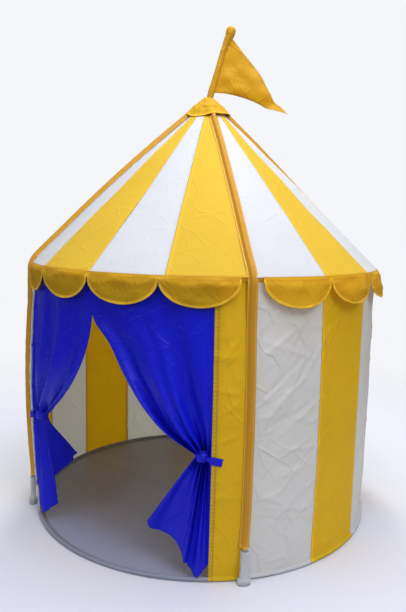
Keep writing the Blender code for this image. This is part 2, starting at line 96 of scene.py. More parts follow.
# %% [markdown]
# Colours are chosen as hex values, the way a picture shows them, and one function turns them to the linear
# values that a shader adds and multiplies. One more function adds a node with its settings and links, and
# every material below is built with it. Inputs go by name or by number: on a Map Range node 1 and 2 are the
# range that it reads and 3 and 4 the range that it gives, and on a colour Mix 6 and 7 are the two colours.

# %% Colour and node helpers
def linear(code):
    """A hex colour in sRGB as linear red, green, blue and 1."""
    parts = [int(code[i:i + 2], 16) / 255 for i in (1, 3, 5)]
    return (*(p / 12.92 if p <= 0.04045 else ((p + 0.055) / 1.055) ** 2.4 for p in parts), 1.0)


def add_node(tree, kind, inputs=None, **settings):
    """Adds a shader node. Each input takes a value, a socket, or a node, which gives its first output."""
    node = tree.nodes.new("ShaderNode" + kind)
    for name, value in settings.items():
        setattr(node, name, value)
    for name, value in (inputs or {}).items():
        if isinstance(value, bpy.types.Node):
            value = value.outputs[0]
        if isinstance(value, bpy.types.NodeSocket):
            tree.links.new(value, node.inputs[name])
        else:
            node.inputs[name].default_value = value
    return node


def new_material(name):
    """A material with an empty node tree."""
    material = bpy.data.materials.new(name)
    material.use_nodes = True
    material.node_tree.nodes.clear()
    return material, material.node_tree


print("example: yellow taffeta is", [round(x, 3) for x in linear("#F5C63A")])

# %% [markdown]
# The studio is plain: a pale floor that fades into a pale surround, so no horizon shows, and soft light. One
# wide lamp hangs above the tent, so the roof is the brightest part and the walls darken towards the ground.
# A weaker one stands to the right of the camera, and one in front of the door lights the first third of the
# floor. The last stands high behind the tent and shines through its back, as daylight does in thin cloth.

# %% Studio
FLOOR_REACH = 2.6
FLOOR_FADE = (0.75, 2.3)             # where the floor starts and ends to fade, from the tent's axis
SURROUND = "#F5F6F9"
LOW_LIGHT, HIGH_LIGHT = 0.08, 0.55   # strength of the surround's light from below and from above
LIGHT_EDGE = 0.15                    # how far above and below the horizon the one turns into the other
LAMPS = {                            # place, aim, width in metres, watts and colour
    "ceiling_lamp": ((0.45, -0.35, 2.75), (0.05, -0.05, 0.8), 1.9, 56, "#E4E7FF"),
    "front_lamp": (polar(62.0, 2.8, 2.8), (0.0, -0.1, 0.75), 1.6, 41, "#FFFCF6"),
    "door_lamp": (polar(-14.0, 3.2, 2.0), (0.0, -0.3, 0.5), 1.3, 12, "#F4F6FF"),
    "back_lamp": (polar(215.0, 2.0, 2.8), (0.0, 0.0, 0.9), 1.3, 56, "#F8FBF4")}


def soft_lamp(name, place, aim, size, watts, colour):
    """A round lamp that lights the tent and that the camera doesn't see."""
    data = bpy.data.lights.new(name, "AREA")
    data.shape = "DISK"
    data.size = size
    data.energy = watts
    data.color = linear(colour)[:3]
    lamp = put_in_scene(name, data)
    lamp.location = place
    lamp.rotation_euler = (Vector(aim) - Vector(place)).to_track_quat("-Z", "Y").to_euler()
    lamp.visible_camera = False


world = bpy.data.worlds.new("surround")
world.use_nodes = True
bpy.context.scene.world = world
sky = world.node_tree
sky.nodes.clear()
seen = add_node(sky, "Background", {"Color": linear(SURROUND), "Strength": 1.0})
way = add_node(sky, "SeparateXYZ", {0: add_node(sky, "TexCoord").outputs["Generated"]})
level = add_node(sky, "MapRange", {"Value": way.outputs["Z"], 1: -LIGHT_EDGE, 2: LIGHT_EDGE,
                                   3: LOW_LIGHT, 4: HIGH_LIGHT})
lighting = add_node(sky, "Background", {"Color": linear("#F3F5FD"), "Strength": level})
path = add_node(sky, "LightPath")
both = add_node(sky, "MixShader", {0: path.outputs["Is Camera Ray"], 1: lighting, 2: seen})
add_node(sky, "OutputWorld", {"Surface": both})

for name, settings in LAMPS.items():
    soft_lamp(name, *settings)

floor_mesh = bpy.data.meshes.new("studio_floor")
form = bmesh.new()
bmesh.ops.create_circle(form, cap_ends=True, segments=96, radius=FLOOR_REACH)
form.to_mesh(floor_mesh)
form.free()
studio_floor = put_in_scene("studio_floor", floor_mesh)
paint, tree = new_material("pale matt floor paint")
where = add_node(tree, "TexCoord").outputs["Object"]
reach = add_node(tree, "VectorMath", {0: where}, operation="LENGTH")
gone = add_node(tree, "MapRange", {"Value": reach.outputs["Value"], 1: FLOOR_FADE[0], 2: FLOOR_FADE[1]},
                interpolation_type="SMOOTHSTEP")
painted = add_node(tree, "BsdfPrincipled", {"Base Color": linear("#D2D3D8"), "Roughness": 0.9})
clear = add_node(tree, "BsdfTransparent")
faded = add_node(tree, "MixShader", {0: gone, 1: painted, 2: clear})
add_node(tree, "OutputMaterial", {"Surface": faded})
floor_mesh.materials.append(paint)
bpy.context.scene.view_settings.view_transform = "Standard"
print("studio: floor", FLOOR_REACH, "m,", len(LAMPS), "soft lamps")

# %% [markdown]
# The tent's measures come from the frame. Its wall stands on a hoop in the floor's hem and hangs from a hoop
# at the eave. Four bent rods push it outwards at their own azimuths and it draws in between them, so the
# wall's radius depends on azimuth and height. The roof is a cone with the same push and pull.

# %% The tent's measures
CLOTH = 1.5 * MM                     # thickness of the plain solids' cloth
STRIPES = 16
STRIPE = 360 / STRIPES
QUARTER = 90
FIRST_ROD = 45
RODS = {"front_right": 45, "back_right": 135, "back_left": 225, "front_left": 315}
JAMB = 35.5                          # azimuth of the door's two side edges
hem_low, hem_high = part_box("base_hoop")
wall_low, wall_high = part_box("wall_right_1")
HEM_D = hem_high.z - hem_low.z
HOOP_R = hem_high.x - HEM_D / 2
WALL_R = HOOP_R + CLOTH / 2
WALL_Z0, WALL_Z1 = wall_low.z, wall_high.z
eave_low, eave_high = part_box("eave_hoop")
EAVE_Z = eave_high.z
EAVE_HOOP_H = eave_high.z - eave_low.z
EAVE_HOOP_W = 2 * (eave_high.x - HOOP_R)
ROOF_SLOPE = math.radians(43.58)
ROOF_OUT = Vector((math.sin(ROOF_SLOPE), math.cos(ROOF_SLOPE)))
gore_low, gore_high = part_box("roof_gore_01")
ROOF_EDGE = Vector((-gore_low.y, gore_low.z + CLOTH * ROOF_OUT.y))
ROOF_TOP = Vector((0.035, gore_high.z))        # the edge of the opening that the cap hides
ROOF_LENGTH = (ROOF_TOP - ROOF_EDGE).length
WALL_PUSH, WALL_PULL = 0.021, -0.010           # halfway up, at a rod and halfway between two
ROOF_PUSH, ROOF_PULL = 0.0095, -0.004


def rod_share(azimuth):
    """1 at a rod, 0 halfway between two."""
    return 0.5 + 0.5 * np.cos(np.radians(360 / QUARTER * (azimuth - FIRST_ROD)))


def beside_rod(azimuth):
    """0 under a rod's sleeve, where the cloth is held flat, and 1 from four degrees away."""
    off = np.abs(azimuth % QUARTER - FIRST_ROD)
    return np.clip((off - 1.6) / 2.4, 0, 1)


def wall_radius(azimuth, z):
    """Outer face of the wall."""
    share = np.clip((z - WALL_Z0) / (WALL_Z1 - WALL_Z0), 0, 1)
    arch = 1 - (2 * share - 1) ** 2
    return WALL_R + arch * (WALL_PULL + (WALL_PUSH - WALL_PULL) * rod_share(azimuth))


def roof_line(azimuth, share, lift=0.0):
    """Radius and height of the roof's outer face, from the eave (0) to the top (1), lifted off it or not."""
    bulge = ROOF_PULL + (ROOF_PUSH - ROOF_PULL) * rod_share(azimuth)
    off = bulge * np.sin(math.pi * share) + lift
    radius = ROOF_EDGE.x + (ROOF_TOP.x - ROOF_EDGE.x) * share + ROOF_OUT.x * off
    return radius, ROOF_EDGE.y + (ROOF_TOP.y - ROOF_EDGE.y) * share + ROOF_OUT.y * off


print("wall radius", round(WALL_R, 4), "from", round(WALL_Z0, 4), "to", round(WALL_Z1, 4))
print("eave", round(EAVE_Z, 4), "roof slope", round(math.degrees(ROOF_SLOPE), 2), "degrees")

# %% [markdown]
# Thin polyester taffeta is never quite flat on such a tent. It was folded into a bag, so it keeps packing
# creases, and it ripples softly between its seams. Both are worked out here as heights off the smooth
# surface, over the unrolled cloth, so that a crease runs on across the seam between two stripes. Most creases
# are random. The clearest ones to the right of the door are placed one by one, where the photograph shows
# them.

# %% Creases and ripples
SHEET = 0.6 * MM                     # thickness the cloth is drawn with
SLANT_SPREAD = 24                    # degrees, round a direction that the creases keep to
HOLLOW = -0.8                        # a crease that goes in is shallower than one that stands out
RIPPLE_WAVES = 7
dice = np.random.default_rng(11)


def make_creases(count, width, height, length, thickness, lift, steep):
    """Random creases on an unrolled sheet: middle, direction, length, thickness and height of each. Two in
    three slant one way, at about steep degrees from level, and the rest the other way."""
    middle_s = dice.uniform(0, width, count)
    middle_t = dice.uniform(0, height, count)
    direction = np.radians(dice.normal(steep, SLANT_SPREAD, count) * dice.choice((1, 1, -1), count))
    lengths = dice.uniform(*length, count)
    widths = dice.uniform(*thickness, count)
    heights = dice.uniform(*lift, count) * dice.choice((1, HOLLOW), count)
    return np.column_stack([middle_s, middle_t, direction, lengths, widths, heights])


def crease_height(creases, s, t):
    """Height of all creases at the cloth's points s (round the tent) and t (up the cloth)."""
    total = np.zeros(np.shape(s))
    low, high = s.min(), s.max()
    for middle_s, middle_t, direction, length, width, height in creases:
        if middle_s + length < low or middle_s - length > high:
            continue
        ds, dt = s - middle_s, t - middle_t
        along = ds * math.cos(direction) + dt * math.sin(direction)
        aside = dt * math.cos(direction) - ds * math.sin(direction)
        fade = np.clip(1 - (2 * along / length) ** 2, 0, 1)
        total += height * fade * np.exp(-(aside / width) ** 2)
    return total


def ripples(s, t, wavelength, lift, seed):
    """Soft irregular waves: a few sines that cross at odd angles."""
    own = np.random.default_rng(seed)
    total = np.zeros(np.broadcast(s, t).shape)
    for _ in range(RIPPLE_WAVES):
        angle = own.uniform(0, math.pi)
        length = wavelength * own.uniform(0.6, 1.9)
        way = s * math.cos(angle) + t * math.sin(angle)
        total += np.sin(2 * math.pi * way / length + own.uniform(0, 6.3))
    return lift * total / 3


WALL_LENGTH = 2 * math.pi * WALL_R
wall_creases = make_creases(620, WALL_LENGTH, WALL_Z1, (0.06, 0.24), (3.2 * MM, 5.5 * MM),
                            (0.8 * MM, 2.8 * MM), 42)
SEEN_CREASES = (                     # middle round the tent and up, degrees from level, length in metres
    (0.499, 0.469, 34, 0.17), (0.502, 0.185, 43, 0.15), (0.489, 0.114, -40, 0.12), (0.455, 0.216, 14, 0.13),
    (0.423, 0.098, -39, 0.11), (0.440, 0.367, 74, 0.10), (0.513, 0.603, 56, 0.07), (0.785, 0.247, -2, 0.10),
    (0.347, 0.362, 22, 0.09), (0.350, 0.570, 55, 0.09), (0.628, 0.342, 20, 0.06), (0.505, 0.265, 11, 0.09),
    (0.473, 0.043, 7, 0.09))
SEEN_WIDTH, SEEN_LIFT = 3.6 * MM, 2.6 * MM
seen_creases = [(s, t, math.radians(way), long, SEEN_WIDTH, SEEN_LIFT) for s, t, way, long in SEEN_CREASES]
wall_creases = np.concatenate([wall_creases, seen_creases])
roof_creases = make_creases(260, WALL_LENGTH, 0.65, (0.05, 0.22), (3.5 * MM, 7.0 * MM),
                            (0.2 * MM, 1.0 * MM), 62)
print("creases:", len(wall_creases), "on the walls,", len(roof_creases), "on the roof")

# %% [markdown]
# Every cloth piece is a grid of points that one function turns into a mesh. The mesh carries the cloth's own
# coordinates in metres as a map named cut, and three attributes for the materials: edge, the distance to
# the nearest sewn edge, run, the way along it, and layers, which is 1 where the cloth is doubled. Solidify
# closes the sheet, and Weighted Normal keeps its thin rim from showing as a dark line.

# %% Laying a sheet
SEAM_STEPS = np.array((0, 1.2, 2.4, 7.0, 8.6)) * MM    # from a sewn edge to where the cloth is flat again


def attribute(mesh, name, values):
    """Stores one number for each point of a mesh, for its material to read."""
    mesh.attributes.new(name, "FLOAT", "POINT").data.foreach_set("value", np.ravel(values).astype(np.float32))


def lay_sheet(name, points, across, along, edge, run, layers, material, thickness=SHEET, ring=False):
    """A closed thin sheet on a grid of points of shape (rows, columns, 3). A ring joins its first column."""
    rows, columns = points.shape[:2]
    across, along = (np.broadcast_to(values, (rows, columns)) for values in (across, along))
    index = np.arange(rows * columns).reshape(rows, columns)
    left, right = index[:, :-1], index[:, 1:]
    if ring:
        left, right = index, np.roll(index, -1, axis=1)
    faces = np.stack([left[:-1], right[:-1], right[1:], left[1:]], axis=-1).reshape(-1, 4)
    mesh = bpy.data.meshes.new(name)
    mesh.from_pydata(points.reshape(-1, 3).tolist(), [], faces.tolist())
    cut = mesh.uv_layers.new(name="cut")
    flat = np.stack([np.ravel(across), np.ravel(along)], axis=-1)
    cut.data.foreach_set("uv", flat[faces.ravel()].astype(np.float32).ravel())
    for label, values in (("edge", edge), ("run", run), ("layers", layers)):
        attribute(mesh, label, np.broadcast_to(values, (rows, columns)))
    mesh.materials.append(material)
    mesh.shade_smooth()
    piece = put_in_scene(name, mesh)
    solid = piece.modifiers.new("cloth", "SOLIDIFY")
    solid.thickness = thickness
    solid.offset = -1
    piece.modifiers.new("shading", "WEIGHTED_NORMAL")
    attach(piece, "root")
    return piece


def seam_relief(edge):
    """A sewn edge: turned in at the seam, doubled for 7 mm beside it, then flat."""
    return np.interp(edge, SEAM_STEPS, np.array((-0.55, 0.05, 0.25, 0.20, 0)) * MM)


def doubled(edge):
    """1 where a seam doubles the cloth, 0 elsewhere."""
    return np.interp(edge, SEAM_STEPS, (1, 1, 1, 1, 0))


def spaced(length, count, squeeze=1.0):
    """Places across a stripe: close together in both seams, then even steps. squeeze narrows the seams."""
    margin = SEAM_STEPS * squeeze
    middle = np.linspace(margin[-1], length - margin[-1], count + 1)[1:-1]
    return np.concatenate([margin, middle, (length - margin)[::-1]])


def through(knots, values, at):
    """A smooth curve through given values at rising knots, read at any places."""
    knots, values, at = (np.asarray(x, float) for x in (knots, values, at))
    slope = np.gradient(values, knots)
    i = np.clip(np.searchsorted(knots, at, side="right") - 1, 0, len(knots) - 2)
    width = knots[i + 1] - knots[i]
    x = np.clip((at - knots[i]) / width, 0, 1)
    bend = x * x * (3 - 2 * x)
    ends = (x - 2 * x ** 2 + x ** 3) * width * slope[i] + (x ** 3 - x ** 2) * width * slope[i + 1]
    return values[i] * (1 - bend) + values[i + 1] * bend + ends


print("a stripe takes", len(spaced(0.196, 30)), "columns")

# %% [markdown]
# Two details of the cloth are drawn by shader nodes of their own. A row of stitches runs beside each sewn
# edge, with a thread that is thicker than a real one, which would be too fine to show. The finest packing
# creases are the edges of Voronoi cells, stretched along two slanting directions of the cloth and mostly
# faded out.

# %% Stitches and packing creases
CRINKLE = 60 * MM                    # length of the fine creases
CRINKLE_SLANTS = ((38, 1.0), (-57, 0.6))       # degrees from level, and the size of that slant's cells
STITCH = 3.2 * MM                    # from one stitch to the next
STITCH_LONG = 0.68                   # the share of it that the thread lies on top
STITCH_FROM_EDGE = 4.5 * MM
THREAD_HALF = 0.45 * MM              # half the width that the sewing thread is drawn with


def stitches(tree, marks):
    """1 on the thread of a row of stitches beside each sewn edge."""
    line = add_node(tree, "Math", {0: marks["edge"], 1: STITCH_FROM_EDGE, 2: THREAD_HALF},
                    operation="COMPARE")
    steps = add_node(tree, "Math", {0: marks["run"], 1: STITCH}, operation="FLOORED_MODULO")
    dash = add_node(tree, "Math", {0: steps, 1: STITCH * STITCH_LONG}, operation="LESS_THAN")
    return add_node(tree, "Math", {0: line, 1: dash}, operation="MULTIPLY")


def crinkles(tree, cut, patch):
    """1 on the fine packing creases, which lie in cells of the size patch."""
    wander = add_node(tree, "TexNoise", {"Vector": cut, "Scale": 22.0, "Detail": 1.0})
    drift = add_node(tree, "VectorMath", {0: wander.outputs["Color"], "Scale": 0.005}, operation="SCALE")
    moved = add_node(tree, "VectorMath", {0: cut, 1: drift}, operation="ADD")
    ridges = []
    for slant, size in CRINKLE_SLANTS:
        turned = add_node(tree, "VectorRotate", {"Vector": moved, "Angle": math.radians(-slant)},
                          rotation_type="Z_AXIS")
        drawn = add_node(tree, "Mapping", {"Vector": turned, "Scale": (0.40, 1.0, 1.0)})
        cells = add_node(tree, "TexVoronoi", {"Vector": drawn, "Scale": 1 / (patch * size)},
                         feature="DISTANCE_TO_EDGE", voronoi_dimensions="2D")
        shown = add_node(tree, "TexNoise", {"Vector": drawn, "Scale": 1.7 / patch, "Detail": 1.0})
        ridge = add_node(tree, "MapRange", {"Value": cells, 1: 0.0, 2: 0.09, 3: 1.0, 4: 0.0})
        kept = add_node(tree, "MapRange", {"Value": shown, 1: 0.45, 2: 0.60})
        ridges.append(add_node(tree, "Math", {0: ridge, 1: kept}, operation="MULTIPLY"))
    return add_node(tree, "Math", {0: ridges[0], 1: ridges[1]}, operation="MAXIMUM")


print("stitches:", round(STITCH / MM, 1), "mm apart, packing creases", round(CRINKLE / MM), "mm long")

# %% [markdown]
# The tent's cloth is polyester taffeta, a plain weave of fine flat threads, dyed and calendered. It shines
# softly, lets light through, and shows the darkness behind it where it hangs in a single layer, so doubled
# hems look brighter than the cloth between them. The weave's threads are a third of a millimetre apart, too
# fine to show, so they are drawn at 1.6 mm. Light that has come through the thin cloth is paler than light
# that comes back from it, so it gets a colour of its own. The roof faces the light, so its creases are drawn
# flatter, and its doubled seams look a little deeper in colour.

# %% Taffeta
THREAD_DRAWN = 1.6 * MM
WAVE_PERIOD = 2 * math.pi / 20       # length of one wave of the Wave Texture at scale 1
GLOSS_SPREAD = 0.06                  # how far the roughness strays in cloudy patches


def woven_cloth(name, single, double, thread, behind, see_through, roughness, crinkle_lift, patch=CRINKLE,
                specular=0.25):
    """Cloth lit from both sides. single and double are its colours in one layer and where it is hemmed, and
    behind is the colour of the light that comes through it."""
    material, tree = new_material(name)
    cut = add_node(tree, "UVMap", uv_map="cut").outputs["UV"]
    where = add_node(tree, "TexCoord").outputs["Object"]
    marks = {label: add_node(tree, "Attribute", attribute_name=label).outputs["Fac"]
             for label in ("edge", "run", "layers")}
    marks["edge"] = add_node(tree, "Math", {0: marks["edge"]}, operation="ABSOLUTE")

    cloudy = add_node(tree, "TexNoise", {"Vector": where, "Scale": 9.0, "Detail": 3.0})
    shade = add_node(tree, "MapRange", {"Value": cloudy, 3: 0.94, 4: 1.05})
    layered = add_node(tree, "Mix", {0: marks["layers"], 6: linear(single), 7: linear(double)},
                       data_type="RGBA")
    tinted = add_node(tree, "VectorMath", {0: layered.outputs[2], 1: shade}, operation="MULTIPLY")
    stitched = stitches(tree, marks)
    sewn = add_node(tree, "Mix", {0: stitched, 6: tinted, 7: linear(thread)}, data_type="RGBA")
    # Painted shade: within 1.4 mm of a sewn edge the colour is darkened, down to 0.55 of itself at the edge,
    # for the shadow in the seam.
    seam_shade = add_node(tree, "MapRange", {"Value": marks["edge"], 1: 0.3 * MM, 2: 1.4 * MM, 3: 0.55, 4: 1.0})
    colour = add_node(tree, "VectorMath", {0: sewn.outputs[2], 1: seam_shade}, operation="MULTIPLY")

    fading = add_node(tree, "MapRange", {"Value": cloudy, 1: 0.38, 2: 0.62, 3: 0.5, 4: 1.0})
    crinkle = add_node(tree, "Math", {0: crinkles(tree, cut, patch), 1: fading}, operation="MULTIPLY")
    waves = {"Vector": cut, "Scale": WAVE_PERIOD / THREAD_DRAWN, "Distortion": 0.0}
    warp, weft = (add_node(tree, "TexWave", waves, bands_direction=way) for way in ("X", "Y"))
    weave = add_node(tree, "Math", {0: warp, 1: weft}, operation="MULTIPLY")
    creased = add_node(tree, "Bump", {"Height": crinkle, "Strength": 0.7, "Distance": crinkle_lift})
    threads = add_node(tree, "Bump", {"Height": weave, "Strength": 0.25, "Distance": 0.10 * MM,
                                      "Normal": creased})
    sunk = add_node(tree, "Bump", {"Height": stitched, "Strength": 0.8, "Distance": -0.35 * MM,
                                   "Normal": threads})

    gloss = add_node(tree, "MapRange", {"Value": cloudy, 3: roughness - GLOSS_SPREAD,
                                        4: roughness + GLOSS_SPREAD})
    front = add_node(tree, "BsdfPrincipled", {"Base Color": colour, "Roughness": gloss, "Normal": sunk,
                                              "Specular IOR Level": specular})
    pale = add_node(tree, "Mix", {0: marks["layers"], 6: linear(behind), 7: colour}, data_type="RGBA")
    back = add_node(tree, "BsdfTranslucent", {"Color": pale.outputs[2], "Normal": creased})
    share = add_node(tree, "MapRange", {"Value": marks["layers"], 3: see_through, 4: see_through * 0.35})
    both_ways = add_node(tree, "MixShader", {0: share, 1: front, 2: back})
    add_node(tree, "OutputMaterial", {"Surface": both_ways})
    return material


# The roof's copies of the two taffetas differ in colour from the walls': painted light and shade, set to
# match how brightly each is lit, not a different cloth.
WHITE_TAFFETA = woven_cloth("white polyester taffeta", "#F0F0F1", "#ECECEE", "#D8D8DA", "#F2F4EC", 0.50, 0.46,
                            2.6 * MM, patch=75 * MM)
YELLOW_TAFFETA = woven_cloth("yellow polyester taffeta", "#F8D12E", "#F8C626", "#E8AC1A", "#F1DA40",
                             0.50, 0.58, 1.9 * MM, patch=75 * MM, specular=0.12)
WHITE_ROOF = woven_cloth("white polyester taffeta, roof", "#EAEBED", "#E6E6E8", "#D8D8DA", "#EEF2EA",
                         0.50, 0.50, 0.8 * MM)
YELLOW_ROOF = woven_cloth("yellow polyester taffeta, roof", "#F1D446", "#E6BE30", "#E8AC1A", "#F1D040",
                          0.50, 0.60, 1.1 * MM, specular=0.12)
print("taffeta: white and yellow, threads drawn", round(THREAD_DRAWN / MM, 1), "mm apart")

# %% [markdown]
# Each wall stripe is one strip of taffeta, 196 mm wide, sewn to its neighbours and into the floor's hem. Its
# lower end wraps over the hoop in the hem and leaves a thin grey line of the hem below it. Small vertical
# puckers come from the gathering at the eave and at the hem, and fade within a hand's width.

# %% Wall stripes
WALL_COLUMNS = 42
WALL_STEP = 5.5 * MM
WRAP_Z = 3.2 * MM                    # where the wall's lower edge ends on the hem
PUCKER = 0.6 * MM
PUCKER_REACH = (45 * MM, 50 * MM)    # how far the puckers fade up from the hem and down from the eave
WALL_CALM = 30 * MM                  # from the hem and from the eave, where creases and ripples begin
SEAM_GAP = 0.05 * MM                 # half the width left open between two stripes
HEM_TUBE_R = 4.9 * MM                # the grey hem with its hoop, as drawn


def wall_surface(azimuth, z):
    """Radius of the wall's cloth, with its wrap over the hem, creases, ripples and puckers."""
    s = np.radians(azimuth % 360) * WALL_R
    smooth = wall_radius(azimuth, np.maximum(z, WALL_Z0))
    calm = np.clip((z - WALL_Z0) / WALL_CALM, 0, 1) * np.clip((WALL_Z1 - z) / WALL_CALM, 0, 1)
    soft = ripples(s, z, 0.16, 0.9 * MM, 3) * (1 - 0.6 * rod_share(azimuth))
    uneven = crease_height(wall_creases, s, z) + soft
    low_fade = np.exp(-np.abs(z - WALL_Z0) / PUCKER_REACH[0])
    high_fade = np.exp(-np.abs(WALL_Z1 - z) / PUCKER_REACH[1])
    low_pucker, high_pucker = ripples(s, 0 * z, 0.022, 1, 5), ripples(s, 0 * z, 0.026, 1, 6)
    pucker = PUCKER * (low_fade * low_pucker + high_fade * high_pucker)
    wrap = HEM_TUBE_R + SHEET + 0.25 * MM
    height = np.clip(z - HEM_D / 2, -wrap, wrap)
    over_hem = HOOP_R + np.sqrt(np.maximum(wrap ** 2 - height ** 2, 0))
    radius = smooth + calm * beside_rod(azimuth) * uneven + 0.5 * (low_fade + high_fade) * pucker
    return np.maximum(radius, over_hem + 0 * azimuth)


def wall_levels():
    """Heights of a stripe's rows: close together round the hem, then even steps up to the eave."""
    hem = np.array((WRAP_Z, 4.5 * MM, 6.5 * MM, 8.5 * MM, 10.2 * MM, 11.6 * MM, 14 * MM))
    count = round((WALL_Z1 - 18 * MM) / WALL_STEP)
    return np.concatenate([hem, np.linspace(18 * MM, WALL_Z1, count + 1)])


def wall_stripe(name, start, end, material, slot):
    """One strip of the wall's cloth, from one azimuth to another."""
    width = math.radians(end - start) * WALL_R
    columns = max(6, round(WALL_COLUMNS * (end - start) / STRIPE))
    across, z = np.meshgrid(spaced(width, columns), wall_levels())
    edge = np.minimum(across, width - across)
    azimuth = start + np.degrees((SEAM_GAP + across * (1 - 2 * SEAM_GAP / width)) / WALL_R)
    radius = wall_surface(azimuth, z) + seam_relief(edge) * np.clip((z - HEM_D) / 0.02, 0, 1)
    layers = doubled(edge) * (slot == "yellow_cloth")
    cut_s = math.radians(start) * WALL_R + across
    piece = lay_sheet(f"{name}_cloth", polar(azimuth, radius, z), cut_s, z, edge, z, layers, material)
    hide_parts(name)
    return piece


stripe_materials = (("white_cloth", WHITE_TAFFETA), ("yellow_cloth", YELLOW_TAFFETA))
for side, first in (("right", 45), ("back", 135), ("left", 225)):
    for step in range(4):
        start = first + step * STRIPE
        slot, cloth = stripe_materials[round(start / STRIPE) % 2]
        wall = wall_stripe(f"wall_{side}_{step + 1}", start, start + STRIPE, cloth, slot)
print("wall stripe:", len(wall.data.vertices), "points before it is thickened")

# %% [markdown]
# The strips beside the door are the narrow ends of two more stripes. The curtain is sewn behind each of
# them. Its selvedge lies behind a 10 mm band next to the folded edge, and the band is drawn darker there:
# painted shade, for the dark curtain seen through the thin cloth. Each stitch that goes through pulls a small
# dimple, 9.8 mm from the next, drawn only as a darker dash of painted shade.

# %% Strips beside the door
BAND = (1 * MM, 11 * MM)             # from the folded edge, where the curtain's selvedge lies behind
DIMPLE_PITCH = 9.8 * MM
DIMPLE_HALF = 1.9 * MM               # half the length of one dimple


def banded(material, band_shade, dimple_shade):
    """A copy of a taffeta whose band over the curtain's selvedge is painted darker, as painted shade, read
    from the attribute band, with darker dashes of painted shade for the stitches' dimples.
    """
    copy = material.copy()
    copy.name = material.name + ", painted curtain shade"
    tree = copy.node_tree
    mark = add_node(tree, "Attribute", attribute_name="band").outputs["Fac"]
    run = add_node(tree, "Attribute", attribute_name="run").outputs["Fac"]
    step = add_node(tree, "Math", {0: run, 1: DIMPLE_PITCH}, operation="FLOORED_MODULO")
    near = add_node(tree, "Math", {0: step, 1: DIMPLE_PITCH / 2, 2: DIMPLE_HALF}, operation="COMPARE")
    dotted = add_node(tree, "Mix", {0: near, 6: linear(band_shade), 7: linear(dimple_shade)},
                      data_type="RGBA")
    for node in [n for n in tree.nodes if n.bl_idname.startswith("ShaderNodeBsdf")]:
        socket = node.inputs["Base Color" if "Base Color" in node.inputs else "Color"]
        before = socket.links[0].from_socket
        shown = add_node(tree, "Mix", {0: mark, 6: before, 7: dotted.outputs[2]}, data_type="RGBA")
        tree.links.new(shown.outputs[2], socket)
    return copy


# Both colours are painted shade: the band's for the curtain behind the cloth, the dashes' for the dimples.
YELLOW_BANDED = banded(YELLOW_TAFFETA, "#D8B02C", "#CBA32C")
WHITE_BANDED = banded(WHITE_TAFFETA, "#CBCCD4", "#BDBECC")
for side, start, end, slot, cloth in (("right", JAMB, 45, "yellow_cloth", YELLOW_BANDED),
                                      ("left", 315, 360 - JAMB, "white_cloth", WHITE_BANDED)):
    strip = wall_stripe(f"door_strip_{side}", start, end, cloth, slot)
    place = np.empty(len(strip.data.vertices) * 3)
    strip.data.vertices.foreach_get("co", place)
    place = place.reshape(-1, 3)
    from_door = np.degrees(np.abs(np.arctan2(place[:, 0], -place[:, 1])))
    from_fold = np.radians(from_door - JAMB) * WALL_R
    in_band = np.interp(from_fold, (BAND[0] - MM, BAND[0], BAND[1], BAND[1] + MM), (0, 1, 1, 0))
    attribute(strip.data, "band", in_band)
print("door strips: band of", round((BAND[1] - BAND[0]) / MM), "mm")

# %% [markdown]
# The roof is sixteen gores, each cut as a long triangle without its tip and sewn to the next. The seam
# allowances lie under the yellow gores, and show there as slightly deeper lines. The cloth is tight, so its
# ripples are shallow, and the cap hides where all the seams meet.

# %% Roof gores
ROOF_ROWS = 84
ROOF_COLUMNS = 20


def roof_gore(index):
    """One gore. Towards the top, where it gets narrow, its seams are drawn narrower too."""
    start = index * STRIPE
    share = np.concatenate([(0, 0.004, 0.010, 0.018), np.linspace(0.028, 1, ROOF_ROWS)])
    width = 2 * math.pi * (ROOF_EDGE.x + (ROOF_TOP.x - ROOF_EDGE.x) * share) / STRIPES
    squeeze = np.minimum(1, width / 0.06)
    across = np.stack([spaced(w, ROOF_COLUMNS, k) for w, k in zip(width, squeeze)])
    edge = np.minimum(across, width[:, None] - across)
    # Along the eave the way up the gore counts as an edge too, so a row of stitches and the painted seam
    # shade run along it.
    near = np.minimum(edge, share[:, None] * ROOF_LENGTH)
    gap = SEAM_GAP / width[:, None]
    azimuth = start + STRIPE * (gap + across / width[:, None] * (1 - 2 * gap))
    share = share[:, None] + 0 * across
    s, t = np.radians(azimuth) * WALL_R, share * ROOF_LENGTH
    calm = np.clip(share / 0.06, 0, 1) * np.clip((1 - share) / 0.15, 0, 1)
    soft = ripples(s, t, 0.22, 0.9 * MM, 8) * (1 - 0.7 * rod_share(azimuth))
    uneven = crease_height(roof_creases, s, t) + soft
    pucker = PUCKER * np.exp(-share / 0.05) * ripples(s, 0 * t, 0.024, 1, 9) * np.clip(share / 0.02, 0, 1)
    uneven = uneven * np.clip(beside_rod(azimuth) + 0.15, 0, 1)
    radius, z = roof_line(azimuth, share, calm * uneven + 0.6 * pucker + seam_relief(edge / squeeze[:, None]))
    name = f"roof_gore_{index + 1:02d}"
    slot, cloth = (("white_cloth", WHITE_ROOF), ("yellow_cloth", YELLOW_ROOF))[index % 2]
    cut_s, layers = math.radians(start) * WALL_R + across, doubled(edge) * (slot == "yellow_cloth")
    piece = lay_sheet(f"{name}_cloth", polar(azimuth, radius, z), cut_s, t, near, t, layers, cloth)
    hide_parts(name)
    return piece


for index in range(STRIPES):
    gore = roof_gore(index)
print("roof gore:", len(gore.data.vertices), "points, slope", round(ROOF_LENGTH, 3), "m long")

# %% [markdown]
# Two spring hoops hold the tent round. The lower one lies in a hem of the grey floor cloth, the upper one in
# a gold sleeve at the eave. Each is a strip of cloth folded round the wire and sewn shut, so it is swept
# here as an open loop. The hem runs out along one flange, round the wire, and back along the other. The
# sleeve has no flange and meets itself under the wire. The cloth gathers a little on the wire, which gives
# small regular puckers.

